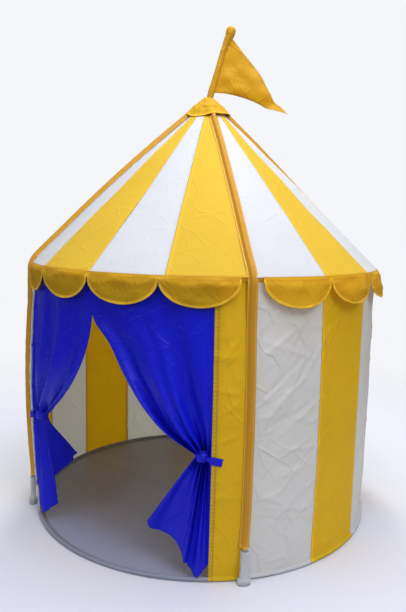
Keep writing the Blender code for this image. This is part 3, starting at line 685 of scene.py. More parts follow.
# %% Hems round the two hoops
HEM_COLUMNS = 336
HEM_FLANGE = 9 * MM                  # the first part of the section, which is sewn flat and has no puckers
HEM_PUCKER = 16 * MM                 # from one pucker on the wire to the next
GOLD_TAFFETA = woven_cloth("gold polyester taffeta, doubled", "#CC981E", "#E6B02A", "#C08C22", "#E0A828",
                           0.16, 0.5, 0.5 * MM)
GREY_COATED = woven_cloth("grey polyester with a coated back", "#8D93AC", "#7C818F", "#5C5E62", "#8D93AC",
                          0.05, 0.38, 0.7 * MM, specular=0.55)


def hem_ring(name, path, gather, material):
    """Sweeps a section, given as radius and height in metres, round the tent. gather is the share by which
    the cloth's distance from the wire swells and shrinks in the puckers."""
    path = np.array(path)
    along = np.concatenate([[0], np.cumsum(np.linalg.norm(np.diff(path, axis=0), axis=1))])
    azimuth = np.arange(HEM_COLUMNS) * 360 / HEM_COLUMNS
    s = np.radians(azimuth) * WALL_R
    middle = path[1:-1].mean(axis=0)
    from_wire = path - middle
    wave = 1 + gather * (0.6 * np.sin(s * 2 * math.pi / HEM_PUCKER) + ripples(s, 0 * s, 0.03, 0.5, 12))
    radius = middle[0] + from_wire[:, :1] * np.where(along[:, None] > HEM_FLANGE, wave, 1)
    height = middle[1] + from_wire[:, 1:] + 0 * radius
    edge = np.minimum(along, along[-1] - along)[:, None]
    points, across = polar(azimuth, radius, height), s + 0 * radius
    return lay_sheet(name, points, across, along[:, None], edge, s, 1.0, material, ring=True)


hem_path = [(HOOP_R - 14 * MM, 2.5 * MM), (HOOP_R - 9 * MM, 2.3 * MM), (HOOP_R - 5.6 * MM, 2.2 * MM)]
hem_path += [(HOOP_R - HEM_TUBE_R * math.cos(a), HEM_D / 2 + HEM_TUBE_R * math.sin(a)) for a in
             np.radians(np.linspace(-18, 318, 17))]
hem_path += [(HOOP_R - 9 * MM, 0.9 * MM), (HOOP_R - 14 * MM, 0.9 * MM)]
floor_hem = hem_ring("floor_hem", hem_path, 0.035, GREY_COATED)
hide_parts("base_hoop")

EAVE_MIDDLE = EAVE_Z - EAVE_HOOP_H / 2
half_w, half_h = EAVE_HOOP_W / 2 - 0.1 * MM, EAVE_HOOP_H / 2 - 0.1 * MM
eave_path = [(HOOP_R - half_w * math.cos(a), EAVE_MIDDLE + half_h * math.sin(a)) for a in
             np.radians(np.linspace(-85, 260, 19))]
eave_band = hem_ring("eave_band", eave_path, 0.06, GOLD_TAFFETA)
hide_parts("eave_hoop")
print("hems: floor", len(floor_hem.data.vertices), "points, eave", len(eave_band.data.vertices), "points")

# %% [markdown]
# The floor is one round sheet of grey polyester, coated on the back against damp, so it is smoother than
# the walls and has a dull shine. Two widths meet in a lapped seam a little off the middle. It lies on the
# ground with shallow waves and sharp folds from the bag, and is sewn to the hem's flange.

# %% Floor cloth
FLOOR_R = HOOP_R - 7.5 * MM
FLOOR_REST = 1.1 * MM                # height of the cloth's lower face above the ground
FLOOR_RINGS, FLOOR_COLUMNS = 60, 144
FLOOR_EDGE = 0.12                    # the share of the radius over which the waves die out
FLOOR_LAP = 1.6 * MM                 # how far the lapped seam stands up, drawn thicker than it is
FLOOR_SEAM = (-0.057, -0.083)        # the seam's height on Y where X is 0, and how it slants
FLOOR_CUT = 1.1                      # side of the square that the floor's creases are spread over
floor_creases = make_creases(90, FLOOR_CUT, FLOOR_CUT, (0.08, 0.35), (4 * MM, 9 * MM),
                             (0.2 * MM, 0.9 * MM), 20)
ring_share = np.sqrt(np.linspace(0.0001, 1, FLOOR_RINGS))[:, None]
round_floor = np.arange(FLOOR_COLUMNS)[None, :] * 360 / FLOOR_COLUMNS
flat = polar(round_floor, FLOOR_R * ring_share, 0.0)
floor_x, floor_y = flat[..., 0], flat[..., 1]
seam_way = (floor_y - FLOOR_SEAM[0] - FLOOR_SEAM[1] * floor_x) / math.hypot(1, FLOOR_SEAM[1])
lap = np.interp(seam_way, (-4 * MM, 4 * MM, 12 * MM, 20 * MM), (0, 1, 0.8, 0))
sharp = crease_height(floor_creases, floor_x + FLOOR_CUT / 2, floor_y + FLOOR_CUT / 2)
waves = ripples(floor_x, floor_y, 0.30, 1.6 * MM, 21) + sharp
lifted = np.clip(waves + 1.2 * MM, 0, 5 * MM) * np.clip((1 - ring_share) / FLOOR_EDGE, 0, 1)
flat[..., 2] = FLOOR_REST + SHEET + lifted + FLOOR_LAP * lap
# The signed distance from the lapped seam serves as the floor's edge, so rows of stitches and a line of
# painted seam shade run along it.
floor_cloth = lay_sheet("floor_cloth", flat, floor_x, floor_y, seam_way, floor_x, 0.0, GREY_COATED, ring=True)
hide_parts("floor_sheet")
print("floor: radius", round(FLOOR_R, 3), "m")

# %% [markdown]
# The valance hangs from the eave seam, a strip of four scallops in each quarter, each as wide as a stripe.
# Its lower edge is bound with a folded strip, which shows as a brighter raised rim. The cloth leaves the
# seam sloping outwards, then breaks at a soft fold and hangs down, so its top is light and the rest dark.

# %% Valance
SCALLOPS = 4
SCALLOP_DEPTH = 0.072
NOTCH_DEPTH = 0.011
VALANCE_END_GAP = 2.9                # degrees left free on each side of a rod
VALANCE_TOP = 16 * MM                # the part that still slopes outwards, and how far out it comes
VALANCE_OUT = 10 * MM
BINDING = 6.5 * MM
BINDING_RISE = 0.35 * MM
valance_creases = make_creases(260, WALL_LENGTH, SCALLOP_DEPTH, (0.02, 0.07), (1.8 * MM, 3.4 * MM),
                               (0.6 * MM, 1.9 * MM), 38)
SWING_OVER = 30 * MM                 # the way below the fold over which the cloth swings out or in
VALANCE_SWING = {"front": -5 * MM, "right": 9 * MM, "back": 6 * MM, "left": -3 * MM}    # at the rim, outwards
VALANCE_ROWS = 24
VALANCE_BODY = 0.55                  # the share of the rows that lies above the binding
VALANCE_COLUMNS = 46                 # in one scallop
VALANCE_TAFFETA = woven_cloth("yellow polyester taffeta, valance", "#EAC42C", "#FCCB36", "#E0A32A",
                              "#F6D038", 0.58, 0.50, 1.8 * MM, patch=44 * MM, specular=0.15)


def scallop_drop(share):
    """How far down the cloth reaches, along a quarter of the eave from 0 to 1."""
    within = share * SCALLOPS % 1.0
    return NOTCH_DEPTH + (SCALLOP_DEPTH - NOTCH_DEPTH) * np.sqrt(np.maximum(0, 1 - (2 * within - 1) ** 2))


def valance(side, start):
    """The valance over one side, from the azimuth of its first rod."""
    low, high = start + VALANCE_END_GAP, start + QUARTER - VALANCE_END_GAP
    length = math.radians(high - low) * ROOF_EDGE.x
    corner = np.linspace(0, 1, VALANCE_COLUMNS + 1)
    eased = (1 - np.cos(math.pi * corner)) / 2 * 0.5 + corner * 0.5
    share = np.unique(np.concatenate([(eased + i) / SCALLOPS for i in range(SCALLOPS)]))
    rim = share * length, -scallop_drop(np.minimum(share, 0.99999))
    drop = scallop_drop(np.clip(share, 0.00001, 0.99999))[None, :]
    rows = np.linspace(0, 1, VALANCE_ROWS)[:, None]
    from_rim = np.minimum(BINDING * 1.35, 0.5 * drop)
    body = (rows / VALANCE_BODY) ** 1.25 * (drop - from_rim)
    down = np.where(rows < VALANCE_BODY, body, drop - from_rim * (1 - rows) / (1 - VALANCE_BODY))
    across = share[None, :] * length + 0 * down
    to_rim = np.hypot(across[..., None] - rim[0], -down[..., None] - rim[1]).min(axis=-1)
    to_rim = np.where(down >= drop - 1e-9, 0, to_rim)
    # Halving the way down from the eave draws the painted seam shade twice as wide along the eave seam.
    edge = np.minimum(to_rim, down / 2)
    s = np.radians(low + (high - low) * share)[None, :] * WALL_R + 0 * down
    within = np.sin(math.pi * (share * SCALLOPS % 1.0))[None, :]
    fold_at = np.clip(VALANCE_TOP + ripples(s, 0 * s, 0.13, 0.007, 31), 6 * MM, 26 * MM)
    out = VALANCE_OUT * (0.6 + 0.4 * within ** 0.5) * np.clip(down / fold_at, 0, 1)
    back = VALANCE_SWING[side] * within * np.clip((down - fold_at) / SWING_OVER, 0, 1)
    sag = ripples(s, down * 1.3, 0.055, 2.2 * MM, 33) * np.clip(down / 0.02, 0, 1) * within
    sag = sag + crease_height(valance_creases, s % WALL_LENGTH, down) * np.clip(down / 6 / MM, 0, 1)
    rise = BINDING_RISE * np.interp(to_rim, (0, 0.8 * MM, BINDING - MM, BINDING), (0, 1, 1, 0))
    radius = ROOF_EDGE.x + 1.2 * MM + out + back + sag + rise
    top = np.interp(down, (0, 1.5 * MM, 4 * MM), (-1.6 * MM, -0.3 * MM, 0))
    z = ROOF_EDGE.y + 1.6 * MM - down
    layers = np.interp(to_rim, (BINDING - 0.5 * MM, BINDING), (1, 0))
    azimuth = low + (high - low) * share[None, :] + 0 * down
    name = f"valance_{side}"
    order = slice(None, None, -1)
    grids = [g[order] for g in (polar(azimuth, radius + top, z), across, -down, edge, s, layers)]
    piece = lay_sheet(f"{name}_cloth", *grids, VALANCE_TAFFETA)
    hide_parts(name)
    return piece


for side, start in (("front", -45), ("right", 45), ("back", 135), ("left", 225)):
    hanging = valance(side, start)
print("valance:", len(hanging.data.vertices), "points in a quarter")

# %% [markdown]
# Each rod is steel tube. It stands in a clear foot, runs up the outside of the wall, bends over the eave and
# ends at the hub. Its line is worked out from the wall's and the roof's own lines, a little further out.
# The metal is galvanised: dull grey, with the mottled crystals that hot zinc leaves.

# %% Steel rods
ROD_D = 10.5 * MM
ROD_OUT = 7.05 * MM                  # from the cloth to the rod's middle
FOOT_R = 0.5175                      # from the tent's axis to a rod's lower end
ROD_FOOT_Z = 0.028
EAVE_ROOM = 1.9 * MM                 # extra room that the bend takes outside the roof's edge
BEND = 0.022                         # how far the smooth bend reaches each side of the eave
LEAN_FROM = 0.62                     # height from which the rod leans out to that bend
ROD_ROOF = (0.045, 0.97)             # the part of the roof's slope along which it lies straight
SPANGLE = 3 * MM                     # size of the zinc's crystals


def rod_line():
    """The rod's middle line as (radius, height) points from the foot to the hub."""
    z = np.linspace(0.10, EAVE_Z - 0.014, 30)
    radius = np.maximum(wall_radius(FIRST_ROD, z) + ROD_OUT, FOOT_R)
    low = np.array((ROOF_EDGE.x + ROD_OUT + EAVE_ROOM, EAVE_Z - BEND))
    radius = radius + (low[0] - radius[-1]) * np.clip((z - LEAN_FROM) / (z[-1] - LEAN_FROM), 0, 1) ** 2
    wall = [(FOOT_R, ROD_FOOT_Z), (FOOT_R, 0.07)] + [(r, h) for r, h in zip(radius, z) if h < EAVE_Z - BEND]
    share = np.linspace(*ROD_ROOF, 40)
    roof_r, roof_z = roof_line(FIRST_ROD, share, ROD_OUT + EAVE_ROOM * np.clip(1 - share / 0.2, 0, 1))
    roof = np.stack([roof_r, roof_z], axis=1)
    slope = (roof[1] - roof[0]) / (roof[1, 0] - roof[0, 0])
    corner = roof[0] + slope * (low[0] - roof[0, 0])
    turn = np.linspace(0, 1, 12)[1:-1, None]
    bend = low * (1 - turn) ** 2 + corner * 2 * turn * (1 - turn) + roof[0] * turn ** 2
    return np.concatenate([wall, [low], bend, roof])


ROD_LINE = rod_line()
steel, tree = new_material("galvanised steel tube")
where = add_node(tree, "TexCoord").outputs["Object"]
spangle = add_node(tree, "TexVoronoi", {"Vector": where, "Scale": 1 / SPANGLE})
tone = add_node(tree, "MapRange", {"Value": spangle.outputs["Color"], 3: 0.30, 4: 0.46})
zinc = add_node(tree, "Mix", {0: spangle.outputs["Color"], 6: linear("#8A9098"), 7: linear("#A9AFB6")},
                data_type="RGBA")
shader = add_node(tree, "BsdfPrincipled", {"Base Color": zinc.outputs[2], "Roughness": tone, "Metallic": 0.9})
add_node(tree, "OutputMaterial", {"Surface": shader})


def smooth_tube(name, points, diameter, material):
    """A round tube along points, with closed ends."""
    curve = bpy.data.curves.new(name, "CURVE")
    curve.dimensions = "3D"
    curve.bevel_depth = diameter / 2
    curve.bevel_resolution = 6
    curve.use_fill_caps = True
    spline = curve.splines.new("POLY")
    spline.points.add(len(points) - 1)
    spline.points.foreach_set("co", np.column_stack([points, np.ones(len(points))]).ravel())
    curve.materials.append(material)
    piece = put_in_scene(name, curve)
    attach(piece, "root")
    return piece


for corner, azimuth in RODS.items():
    rod = smooth_tube(f"rod_{corner}", polar(azimuth, ROD_LINE[:, 0], ROD_LINE[:, 1]), ROD_D, steel)
    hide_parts(f"pole_{corner}")
print("rod:", round(float(np.linalg.norm(np.diff(ROD_LINE, axis=0), axis=1).sum()), 3), "m long")

# %% [markdown]
# Over each rod lies a strip of doubled gold taffeta, sewn down along both sides, so it makes a sleeve. The
# cloth is stretched over the tube, flat beside it, and it puckers along the two rows of stitches. Its lower
# end is turned in and sewn, which leaves a thicker rim round the opening.

# %% Rod sleeves
SLEEVE_START = 0.090                 # height of its lower end
SLEEVE_STOP_SHARE = 0.999            # how far up the roof the sleeve reaches, under the cap
SLEEVE_SECTION = (                   # sideways from the rod's middle and off the cloth, in mm
    (0, 13.6), (2.7, 13.0), (4.7, 11.2), (6.0, 8.3), (6.6, 5.2), (7.4, 2.4), (8.9, 1.3), (12.5, 1.1))
SLEEVE_RIM = 8 * MM
SLEEVE_ROWS, SLEEVE_HALF = 156, 11   # rows up the sleeve, and points from the rod's middle to one side
SLEEVE_PUCKER = 0.45 * MM            # along the stitches
SLEEVE_WANDER = 0.5 * MM             # how far the whole sleeve strays sideways
SLEEVE_SLACK = 0.35 * MM             # over the rod
RIM_THICK = 0.7 * MM


def polar_aside(azimuth, radius, aside, z):
    """Points at one azimuth, as polar gives them, but moved aside along the tangent."""
    angle = math.radians(azimuth)
    x = radius * math.sin(angle) + aside * math.cos(angle)
    y = aside * math.sin(angle) - radius * math.cos(angle)
    return np.stack(np.broadcast_arrays(x, y, z), axis=-1)


def sleeve_section(count):
    """Sideways place and lift off the cloth, from one sewn side over the rod to the other, in metres."""
    aside, lift = np.array(SLEEVE_SECTION).T
    way = np.concatenate([[0], np.cumsum(np.hypot(np.diff(aside), np.diff(lift)))])
    at = np.linspace(0, way[-1], count)
    half = np.stack([through(way, aside, at), through(way, lift, at)], axis=1) * MM
    return np.concatenate([half[::-1] * (-1, 1), half[1:]]), way[-1] * MM


def rod_sleeve(corner, azimuth, seed):
    """The sleeve over one rod. The seed gives it puckers of its own."""
    steps = np.linalg.norm(np.diff(ROD_LINE, axis=0), axis=1)
    way = np.concatenate([[0], np.cumsum(steps)])
    start = np.interp(SLEEVE_START, ROD_LINE[:20, 1], way[:20])
    stop = way[-1] * SLEEVE_STOP_SHARE
    rim = start + np.array((0, 1, 2.5, 6.5, 8, 9)) * MM
    along = np.concatenate([rim, np.linspace(start + 12 * MM, stop, SLEEVE_ROWS)])
    line = np.stack([np.interp(along, way, ROD_LINE[:, 0]), np.interp(along, way, ROD_LINE[:, 1])], axis=1)
    heading = np.gradient(line, along, axis=0)
    heading /= np.linalg.norm(heading, axis=1)[:, None]
    outward = np.stack([heading[:, 1], -heading[:, 0]], axis=1)
    section, half_way = sleeve_section(SLEEVE_HALF)
    aside, lift = section[:, 0][None, :], section[:, 1][None, :]
    own = along[:, None]
    flat_part = np.clip((np.abs(aside) - 6 * MM) / (3 * MM), 0, 1)
    pucker = SLEEVE_PUCKER * flat_part * ripples(own, aside * 0, 0.016, 1, seed)
    wander = SLEEVE_WANDER * ripples(own, aside * 0, 0.11, 1, seed + 1)
    slack = np.maximum(SLEEVE_SLACK * ripples(own, aside, 0.020, 1, seed + 2), -0.1 * MM) * (1 - flat_part)
    thick = RIM_THICK * np.interp(own - start, (0, 1 * MM, 6.5 * MM, 9 * MM), (0.4, 1, 0.8, 0))
    off = lift + pucker + slack + thick - ROD_OUT
    radius = line[:, :1] + outward[:, :1] * off
    z = line[:, 1:] + outward[:, 1:] * off
    side = aside * (1 + thick / (12 * MM)) + wander
    across = np.linspace(0, 2 * half_way, aside.shape[1])[None, :]
    edge = np.minimum(np.minimum(across, 2 * half_way - across), own - start)
    core = np.clip(1 - np.abs(aside) / (8 * MM), 0, 1) ** 0.5
    layers = np.maximum(1 - core, np.interp(own - start, (0, SLEEVE_RIM, SLEEVE_RIM + MM), (1, 1, 0)))
    points = polar_aside(azimuth, radius, side, z)
    piece = lay_sheet(f"rod_sleeve_{corner}", points, across, own, edge, own, layers, SLEEVE_TAFFETA)
    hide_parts(f"sleeve_{corner}")
    return piece


SLEEVE_TAFFETA = woven_cloth("gold polyester taffeta, over the rods", "#C28C20", "#DCA42E", "#B88222",
                             "#CA922A", 0.16, 0.48, 0.5 * MM)
for seed, (corner, azimuth) in enumerate(RODS.items()):
    sleeve = rod_sleeve(corner, azimuth, 40 + 5 * seed)
print("sleeve:", len(sleeve.data.vertices), "points")

# %% [markdown]
# The feet are moulded from a clear, slightly milky plastic. A foot is one block with rounded edges and an
# oval socket that the steel tube is pushed into. It is lofted from oval sections, up the outside and down
# the inside of the bore, so that it is one closed solid with a real hole.

# %% Clear plastic feet
FOOT_SECTIONS = (                    # height, half width, half depth in mm
    (0.0, 15.6, 10.2), (0.5, 16.5, 11.0), (1.6, 17.0, 11.5), (9.5, 17.0, 11.5), (12.6, 16.6, 11.2),
    (15.0, 15.2, 10.3), (16.4, 13.0, 9.2), (17.4, 11.4, 8.6), (20.0, 10.9, 8.3), (50.0, 10.6, 8.1),
    (78.0, 10.4, 8.0), (81.0, 10.9, 8.4), (83.4, 10.9, 8.4), (84.0, 10.4, 8.0), (84.0, 6.4, 6.2),
    (83.0, 5.65, 5.65), (27.0, 5.65, 5.65), (26.6, 5.0, 5.0))
FOOT_SIDES = 48
BLOCK_POWER = 0.82                   # below 1 an oval fills out towards a rectangle, for the foot's block

milky, tree = new_material("clear moulded plastic, slightly milky")
where = add_node(tree, "TexCoord").outputs["Object"]
flow = add_node(tree, "TexNoise", {"Vector": where, "Scale": 60.0, "Detail": 3.0})
clouded = add_node(tree, "Mix", {0: flow, 6: linear("#E9EDF0"), 7: linear("#F7FAFB")}, data_type="RGBA")
gloss = add_node(tree, "MapRange", {"Value": flow, 3: 0.16, 4: 0.30})
wavy = add_node(tree, "Bump", {"Height": flow, "Strength": 0.3, "Distance": 0.4 * MM})
shader = add_node(tree, "BsdfPrincipled", {"Base Color": clouded.outputs[2], "Roughness": gloss, "IOR": 1.49,
                                           "Transmission Weight": 0.62, "Normal": wavy})
add_node(tree, "OutputMaterial", {"Surface": shader})


def closed_loft(name, rings, material):
    """A closed solid from rings of points, each an array of (sides, 3), with both ends filled."""
    count = len(rings[0])
    faces = []
    for level in range(len(rings) - 1):
        for side in range(count):
            beside = (side + 1) % count
            low, high = level * count, (level + 1) * count
            faces.append([low + side, low + beside, high + beside, high + side])
    faces.append(list(range(count))[::-1])
    faces.append([(len(rings) - 1) * count + side for side in range(count)])
    mesh = bpy.data.meshes.new(name)
    mesh.from_pydata(np.concatenate(rings).tolist(), [], faces)
    mesh.materials.append(material)
    mesh.shade_smooth()
    mesh.set_sharp_from_angle(angle=math.radians(50))
    piece = put_in_scene(name, mesh)
    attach(piece, "root")
    return piece


around = np.linspace(0, 2 * math.pi, FOOT_SIDES, endpoint=False)
round_x, round_y = np.cos(around), np.sin(around)
for corner, azimuth in RODS.items():
    rings = []
    for z, half_w, half_d in FOOT_SECTIONS:
        power = BLOCK_POWER if z < 17 and half_w > 12 else 1.0
        x = np.sign(round_x) * np.abs(round_x) ** power * half_w * MM
        y = np.sign(round_y) * np.abs(round_y) ** power * half_d * MM
        rings.append(polar_aside(azimuth, FOOT_R - y, x, z * MM))
    foot = closed_loft(f"rod_foot_{corner}", rings, milky)
    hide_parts(f"foot_{corner}")
print("foot:", len(foot.data.vertices), "points")

# %% [markdown]
# Under the cap the four rods meet in a hub of black ABS. It is turned, with rounded edges and a raised ring
# on top that holds the flag's rod. Little of it is ever seen, only from inside the tent.

# %% Hub
hub_low, hub_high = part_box("apex_hub")
HUB_R = hub_high.x
HUB_SIDES = 48
HUB_PROFILE = (                      # shares of its radius and of its height
    (0.0, 0.0), (0.80, 0.0), (0.96, 0.06), (1.0, 0.16), (1.0, 0.60), (0.97, 0.72), (0.86, 0.78), (0.50, 0.80),
    (0.44, 0.84), (0.42, 0.98), (0.36, 1.0), (0.0, 1.0))
abs_plastic, tree = new_material("black moulded ABS")
where = add_node(tree, "TexCoord").outputs["Object"]
grain = add_node(tree, "TexNoise", {"Vector": where, "Scale": 900.0, "Detail": 2.0})
fine = add_node(tree, "Bump", {"Height": grain, "Strength": 0.2, "Distance": 0.1 * MM})
worn = add_node(tree, "MapRange", {"Value": grain, 3: 0.42, 4: 0.56})
shader = add_node(tree, "BsdfPrincipled", {"Base Color": linear("#1B1B1D"), "Roughness": worn,
                                           "Normal": fine})
add_node(tree, "OutputMaterial", {"Surface": shader})
hub_turn = np.arange(HUB_SIDES) * 360 / HUB_SIDES
hub_h = hub_high.z - hub_low.z
rings = [polar(hub_turn, max(r, 0.004) * HUB_R, hub_low.z + h * hub_h) for r, h in HUB_PROFILE]
hub = closed_loft("rod_hub", rings, abs_plastic)
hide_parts("apex_hub")
print("hub:", round(2 * HUB_R / MM), "mm across")

# %% [markdown]
# A cap of yellow cloth covers the hub and the tops of the seams. It is a cone of one layer, gathered round
# the flag's rod at its neck. Its hem lies over the four rod sleeves and dips between them, and it sits a
# little askew, lowest in front. The gathers die out on the way down, and a packing crease runs round halfway.

# %% Cap
CAP_NECK = (12.5 * MM, 1.2205)       # radius and height
CAP_HEM_R = 0.0620
CAP_HEM_Z = 1.1640
CAP_HEM = (                          # azimuth, and the hem's radius and height there
    (0, 0.0610, 1.1580), (22, 0.0630, 1.1600), (45, 0.0735, 1.1665), (68, 0.0630, 1.1680),
    (92, 0.0610, 1.1715), (115, 0.0630, 1.1730), (135, 0.0655, 1.1750), (158, 0.0620, 1.1710),
    (180, 0.0610, 1.1690), (203, 0.0625, 1.1700), (225, 0.0660, 1.1745), (248, 0.0620, 1.1690),
    (270, 0.0600, 1.1670), (293, 0.0615, 1.1690), (315, 0.0660, 1.1730), (338, 0.0620, 1.1620),
    (360, 0.0610, 1.1580))
CAP_HEM_W = 7 * MM
CAP_GATHERS = 22
GATHER_LIFT = 0.9 * MM
CROWN = 2.6 * MM                     # how far the slope bulges halfway up
CREASE_LIFT = 1.2 * MM
CAP_COLUMNS = 240
CAP_TAFFETA = woven_cloth("yellow polyester taffeta, cap", "#D8A922", "#E8B92C", "#C89222", "#E6B82C",
                          0.25, 0.50, 0.9 * MM, patch=26 * MM, specular=0.12)
azimuth = np.arange(CAP_COLUMNS)[None, :] * 360 / CAP_COLUMNS
round_cap = np.radians(azimuth)
share = np.concatenate([[0, 0.02, 0.10, 0.13], np.linspace(0.16, 1.0, 34)])[:, None]
hem_at = np.array(CAP_HEM).T
hem_r, hem_z = (through(hem_at[0], hem_at[i], azimuth) for i in (1, 2))
hem_z = hem_z + ripples(azimuth / 360, 0 * azimuth, 0.22, 0.5 * MM, 51)
crown = np.sin(math.pi * share) * CROWN
gathers = np.sin(CAP_GATHERS * round_cap + 1.5 * np.sin(3 * round_cap)) * np.exp(-(1 - share) / 0.13)
slack = ripples(0.04 * round_cap, 0.07 * share, 0.032, 1.3 * MM, 52) * np.sin(math.pi * share) ** 0.5
flare = 1.0 * MM * np.exp(-share / 0.10)
crease_up = 0.46 + 0.04 * np.sin(5 * round_cap)
creased = CREASE_LIFT * np.exp(-((share - crease_up) / 0.035) ** 2)
radius = hem_r + (CAP_NECK[0] - hem_r) * share + flare + crown + slack + creased + GATHER_LIFT * gathers
height = hem_z + (CAP_NECK[1] - hem_z) * share + 0.6 * crown
slope_length = math.hypot(CAP_HEM_R - CAP_NECK[0], CAP_NECK[1] - CAP_HEM_Z)
own = share * slope_length + 0 * azimuth
fold = 0.45 * MM * np.interp(own, (0, 1 * MM, CAP_HEM_W - MM, CAP_HEM_W), (0.3, 1, 1, 0))
layers = np.interp(own, (0, CAP_HEM_W, CAP_HEM_W + MM), (1, 1, 0))
points = polar(azimuth, radius + fold, height)
round_way = round_cap * CAP_HEM_R + 0 * own
cap = lay_sheet("cap_cloth", points, round_way, own, own, round_way, layers, CAP_TAFFETA, ring=True)
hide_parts("apex_cap")
print("cap:", round(slope_length, 3), "m down its side")

# %% [markdown]
# The flag's rod leans to one side. It is covered by a narrow gathered tube of the flag's cloth, and at the
# tip a ball of wadding fills the tube's end, where the cloth closes in pleats. The tube is turned round the
# leaning axis here, with lengthwise creases.

# %% Flag rod
FLAG_LEAN = math.radians(15.0)
FLAG_AZIMUTH = 123.0
FLAG_AXIS = Vector(polar(FLAG_AZIMUTH, math.sin(FLAG_LEAN), math.cos(FLAG_LEAN)))
FLAG_FLY = Vector(polar(FLAG_AZIMUTH, 1.0, 0.0))
FLAG_SIDE = FLAG_AXIS.cross(FLAG_FLY).normalized()
FLAG_OFF = (FLAG_FLY - FLAG_AXIS * FLAG_FLY.dot(FLAG_AXIS)).normalized()
FLAG_FOOT = Vector((0, 0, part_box("apex_hub")[1].z + 1.9 * MM))
TUBE_OUTLINE = (                     # way up the rod and radius, in mm, with the ball at the top
    (0, 7.6), (14, 8.8), (24, 9.2), (60, 8.2), (120, 7.3), (160, 7.4), (176, 8.4), (188, 10.2), (196, 12.2),
    (203, 13.2), (209, 13.3), (214, 12.2), (218.0, 9.4), (220.2, 5.0), (221.0, 0.4))
BALL_OFF = 6.5 * MM                  # the flag pulls the tube's soft tip over to its own side
outline_way, outline_radius = np.array(TUBE_OUTLINE).T * MM
BALL_NECK, BALL_TOP = 0.181, 0.223   # way up the rod, where the cloth is pleated
PLEATS = 9
FLAG_TAFFETA = woven_cloth("yellow polyester taffeta, flag", "#DCAC1E", "#CE981C", "#B47B1C", "#E6B828",
                           0.34, 0.48, 1.5 * MM, patch=44 * MM, specular=0.20)


def times(amounts, direction):
    """A direction, made as long as each of the amounts."""
    return amounts[..., None] * np.array(direction)


tube_steps = ((0, 0.176, 60), (0.178, 0.214, 22), (0.2153, 0.221, 10))     # closer together on the ball
way = np.concatenate([np.linspace(*steps) for steps in tube_steps])[:, None]
turn = np.radians(np.arange(72)[None, :] * 5.0)
pleat = 0.11 * np.exp(-((way - BALL_NECK) / 0.016) ** 2) + 0.2 * np.exp(-((way - BALL_TOP) / 0.007) ** 2)
crumple = 1 + pleat * np.sin(PLEATS * turn + 0.8) + ripples(0.006 * turn, way, 0.020, 0.035, 61)
spread = through(outline_way, outline_radius, way) * crumple
tip_off = BALL_OFF * np.clip((way - 0.150) / 0.045, 0, 1) ** 1.5
points = np.array(FLAG_FOOT) + times(way, FLAG_AXIS) + times(tip_off, FLAG_FLY)
points = points + times(spread * np.cos(turn), FLAG_SIDE) + times(spread * np.sin(turn), FLAG_OFF)
tube_round = turn * 6.6 * MM
tube = lay_sheet("flag_rod_cover", points, tube_round, way, 5 * MM, way, 0.7, FLAG_TAFFETA, ring=True)
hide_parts("flag_rod")
print("flag rod cover:", round(float(way.max()), 3), "m")

# %% [markdown]
# The flag is a three-cornered cloth, hemmed all round and sewn to the tube on the rod. It is laid between an
# upper and a lower edge, each a smooth curve in the plane of the rod. Its fly end is folded over, so the
# upper edge has a corner where it bends, and its tip hangs off as a narrow tail.

# %% Flag
# Share of the way along the flag, then distance from the tent's axis and height of its two edges.
FLAG_UPPER = ((0.0, 0.0575, 1.3985), (0.22, 0.1040, 1.3410), (0.46, 0.1478, 1.2895), (0.60, 0.1660, 1.2610),
              (0.74, 0.1820, 1.2350), (0.86, 0.1985, 1.2105), (0.92, 0.2130, 1.2025), (1.0, 0.2361, 1.1825))
FLAG_LOWER = ((0.0, 0.0120, 1.2362), (0.22, 0.0560, 1.2318), (0.46, 0.1000, 1.2215), (0.60, 0.1290, 1.2118),
              (0.74, 0.1560, 1.2002), (0.86, 0.1775, 1.1912), (0.92, 0.2030, 1.1868), (1.0, 0.2345, 1.1812))
FLAG_HEM = 6 * MM
FLAG_BELLY, FLAG_CURVE = 9 * MM, 8 * MM        # how far it bellies between its edges, and bends as a whole
TAIL_FROM, TAIL_OUT = 0.84, 14 * MM  # where along the flag its tail starts, and how far that turns out
FOLD_TURN = -0.55                    # how steeply the cloth turns back past the fold line
FOLD_PLACE, FOLD_WAY = (0.150, 1.292), (0.93, 0.36)    # a point of the fold line and the way across it
u = np.linspace(0, 1, 61)
v = np.linspace(0, 1, 41)[:, None]
rims = []
for side in (FLAG_UPPER, FLAG_LOWER):
    knots, rim_across, rim_up = np.array(side).T
    rims.append((through(knots, rim_across, u), through(knots, rim_up, u)))
across, up = (rims[1][i] * (1 - v) + rims[0][i] * v for i in (0, 1))
edge = np.minimum(*(np.hypot(across[..., None] - x, up[..., None] - z).min(axis=-1) for x, z in rims))
belly = FLAG_BELLY * np.sin(math.pi * np.minimum(u / 0.86, 1)) * np.sin(math.pi * v) ** 0.7
past_fold = (across - FOLD_PLACE[0]) * FOLD_WAY[0] + (up - FOLD_PLACE[1]) * FOLD_WAY[1]
facet = FOLD_TURN * np.clip(past_fold, 0, 0.04)
tail = TAIL_OUT * np.clip((u - TAIL_FROM) / (1 - TAIL_FROM), 0, 1) * (1.2 - v)
folds = ripples(across, up, 0.060, 2.8 * MM, 71) * np.clip(u / 0.15, 0, 1)
rise = 0.4 * MM * np.interp(edge, (0, 1 * MM, FLAG_HEM - MM, FLAG_HEM), (0, 1, 1, 0))
towards = -(FLAG_CURVE * np.sin(math.pi * u * 0.9) + belly + facet + tail + folds + rise)
points = times(across, FLAG_FLY) + times(up, (0, 0, 1)) + times(towards, FLAG_SIDE)
layers = np.interp(edge, (FLAG_HEM - 0.5 * MM, FLAG_HEM + 0.5 * MM), (0.8, 0))
flag = lay_sheet("flag_cloth", points, across, up, edge, across, layers, FLAG_TAFFETA)
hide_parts("flag")
print("flag:", len(flag.data.vertices), "points, side", [round(x, 3) for x in FLAG_SIDE])

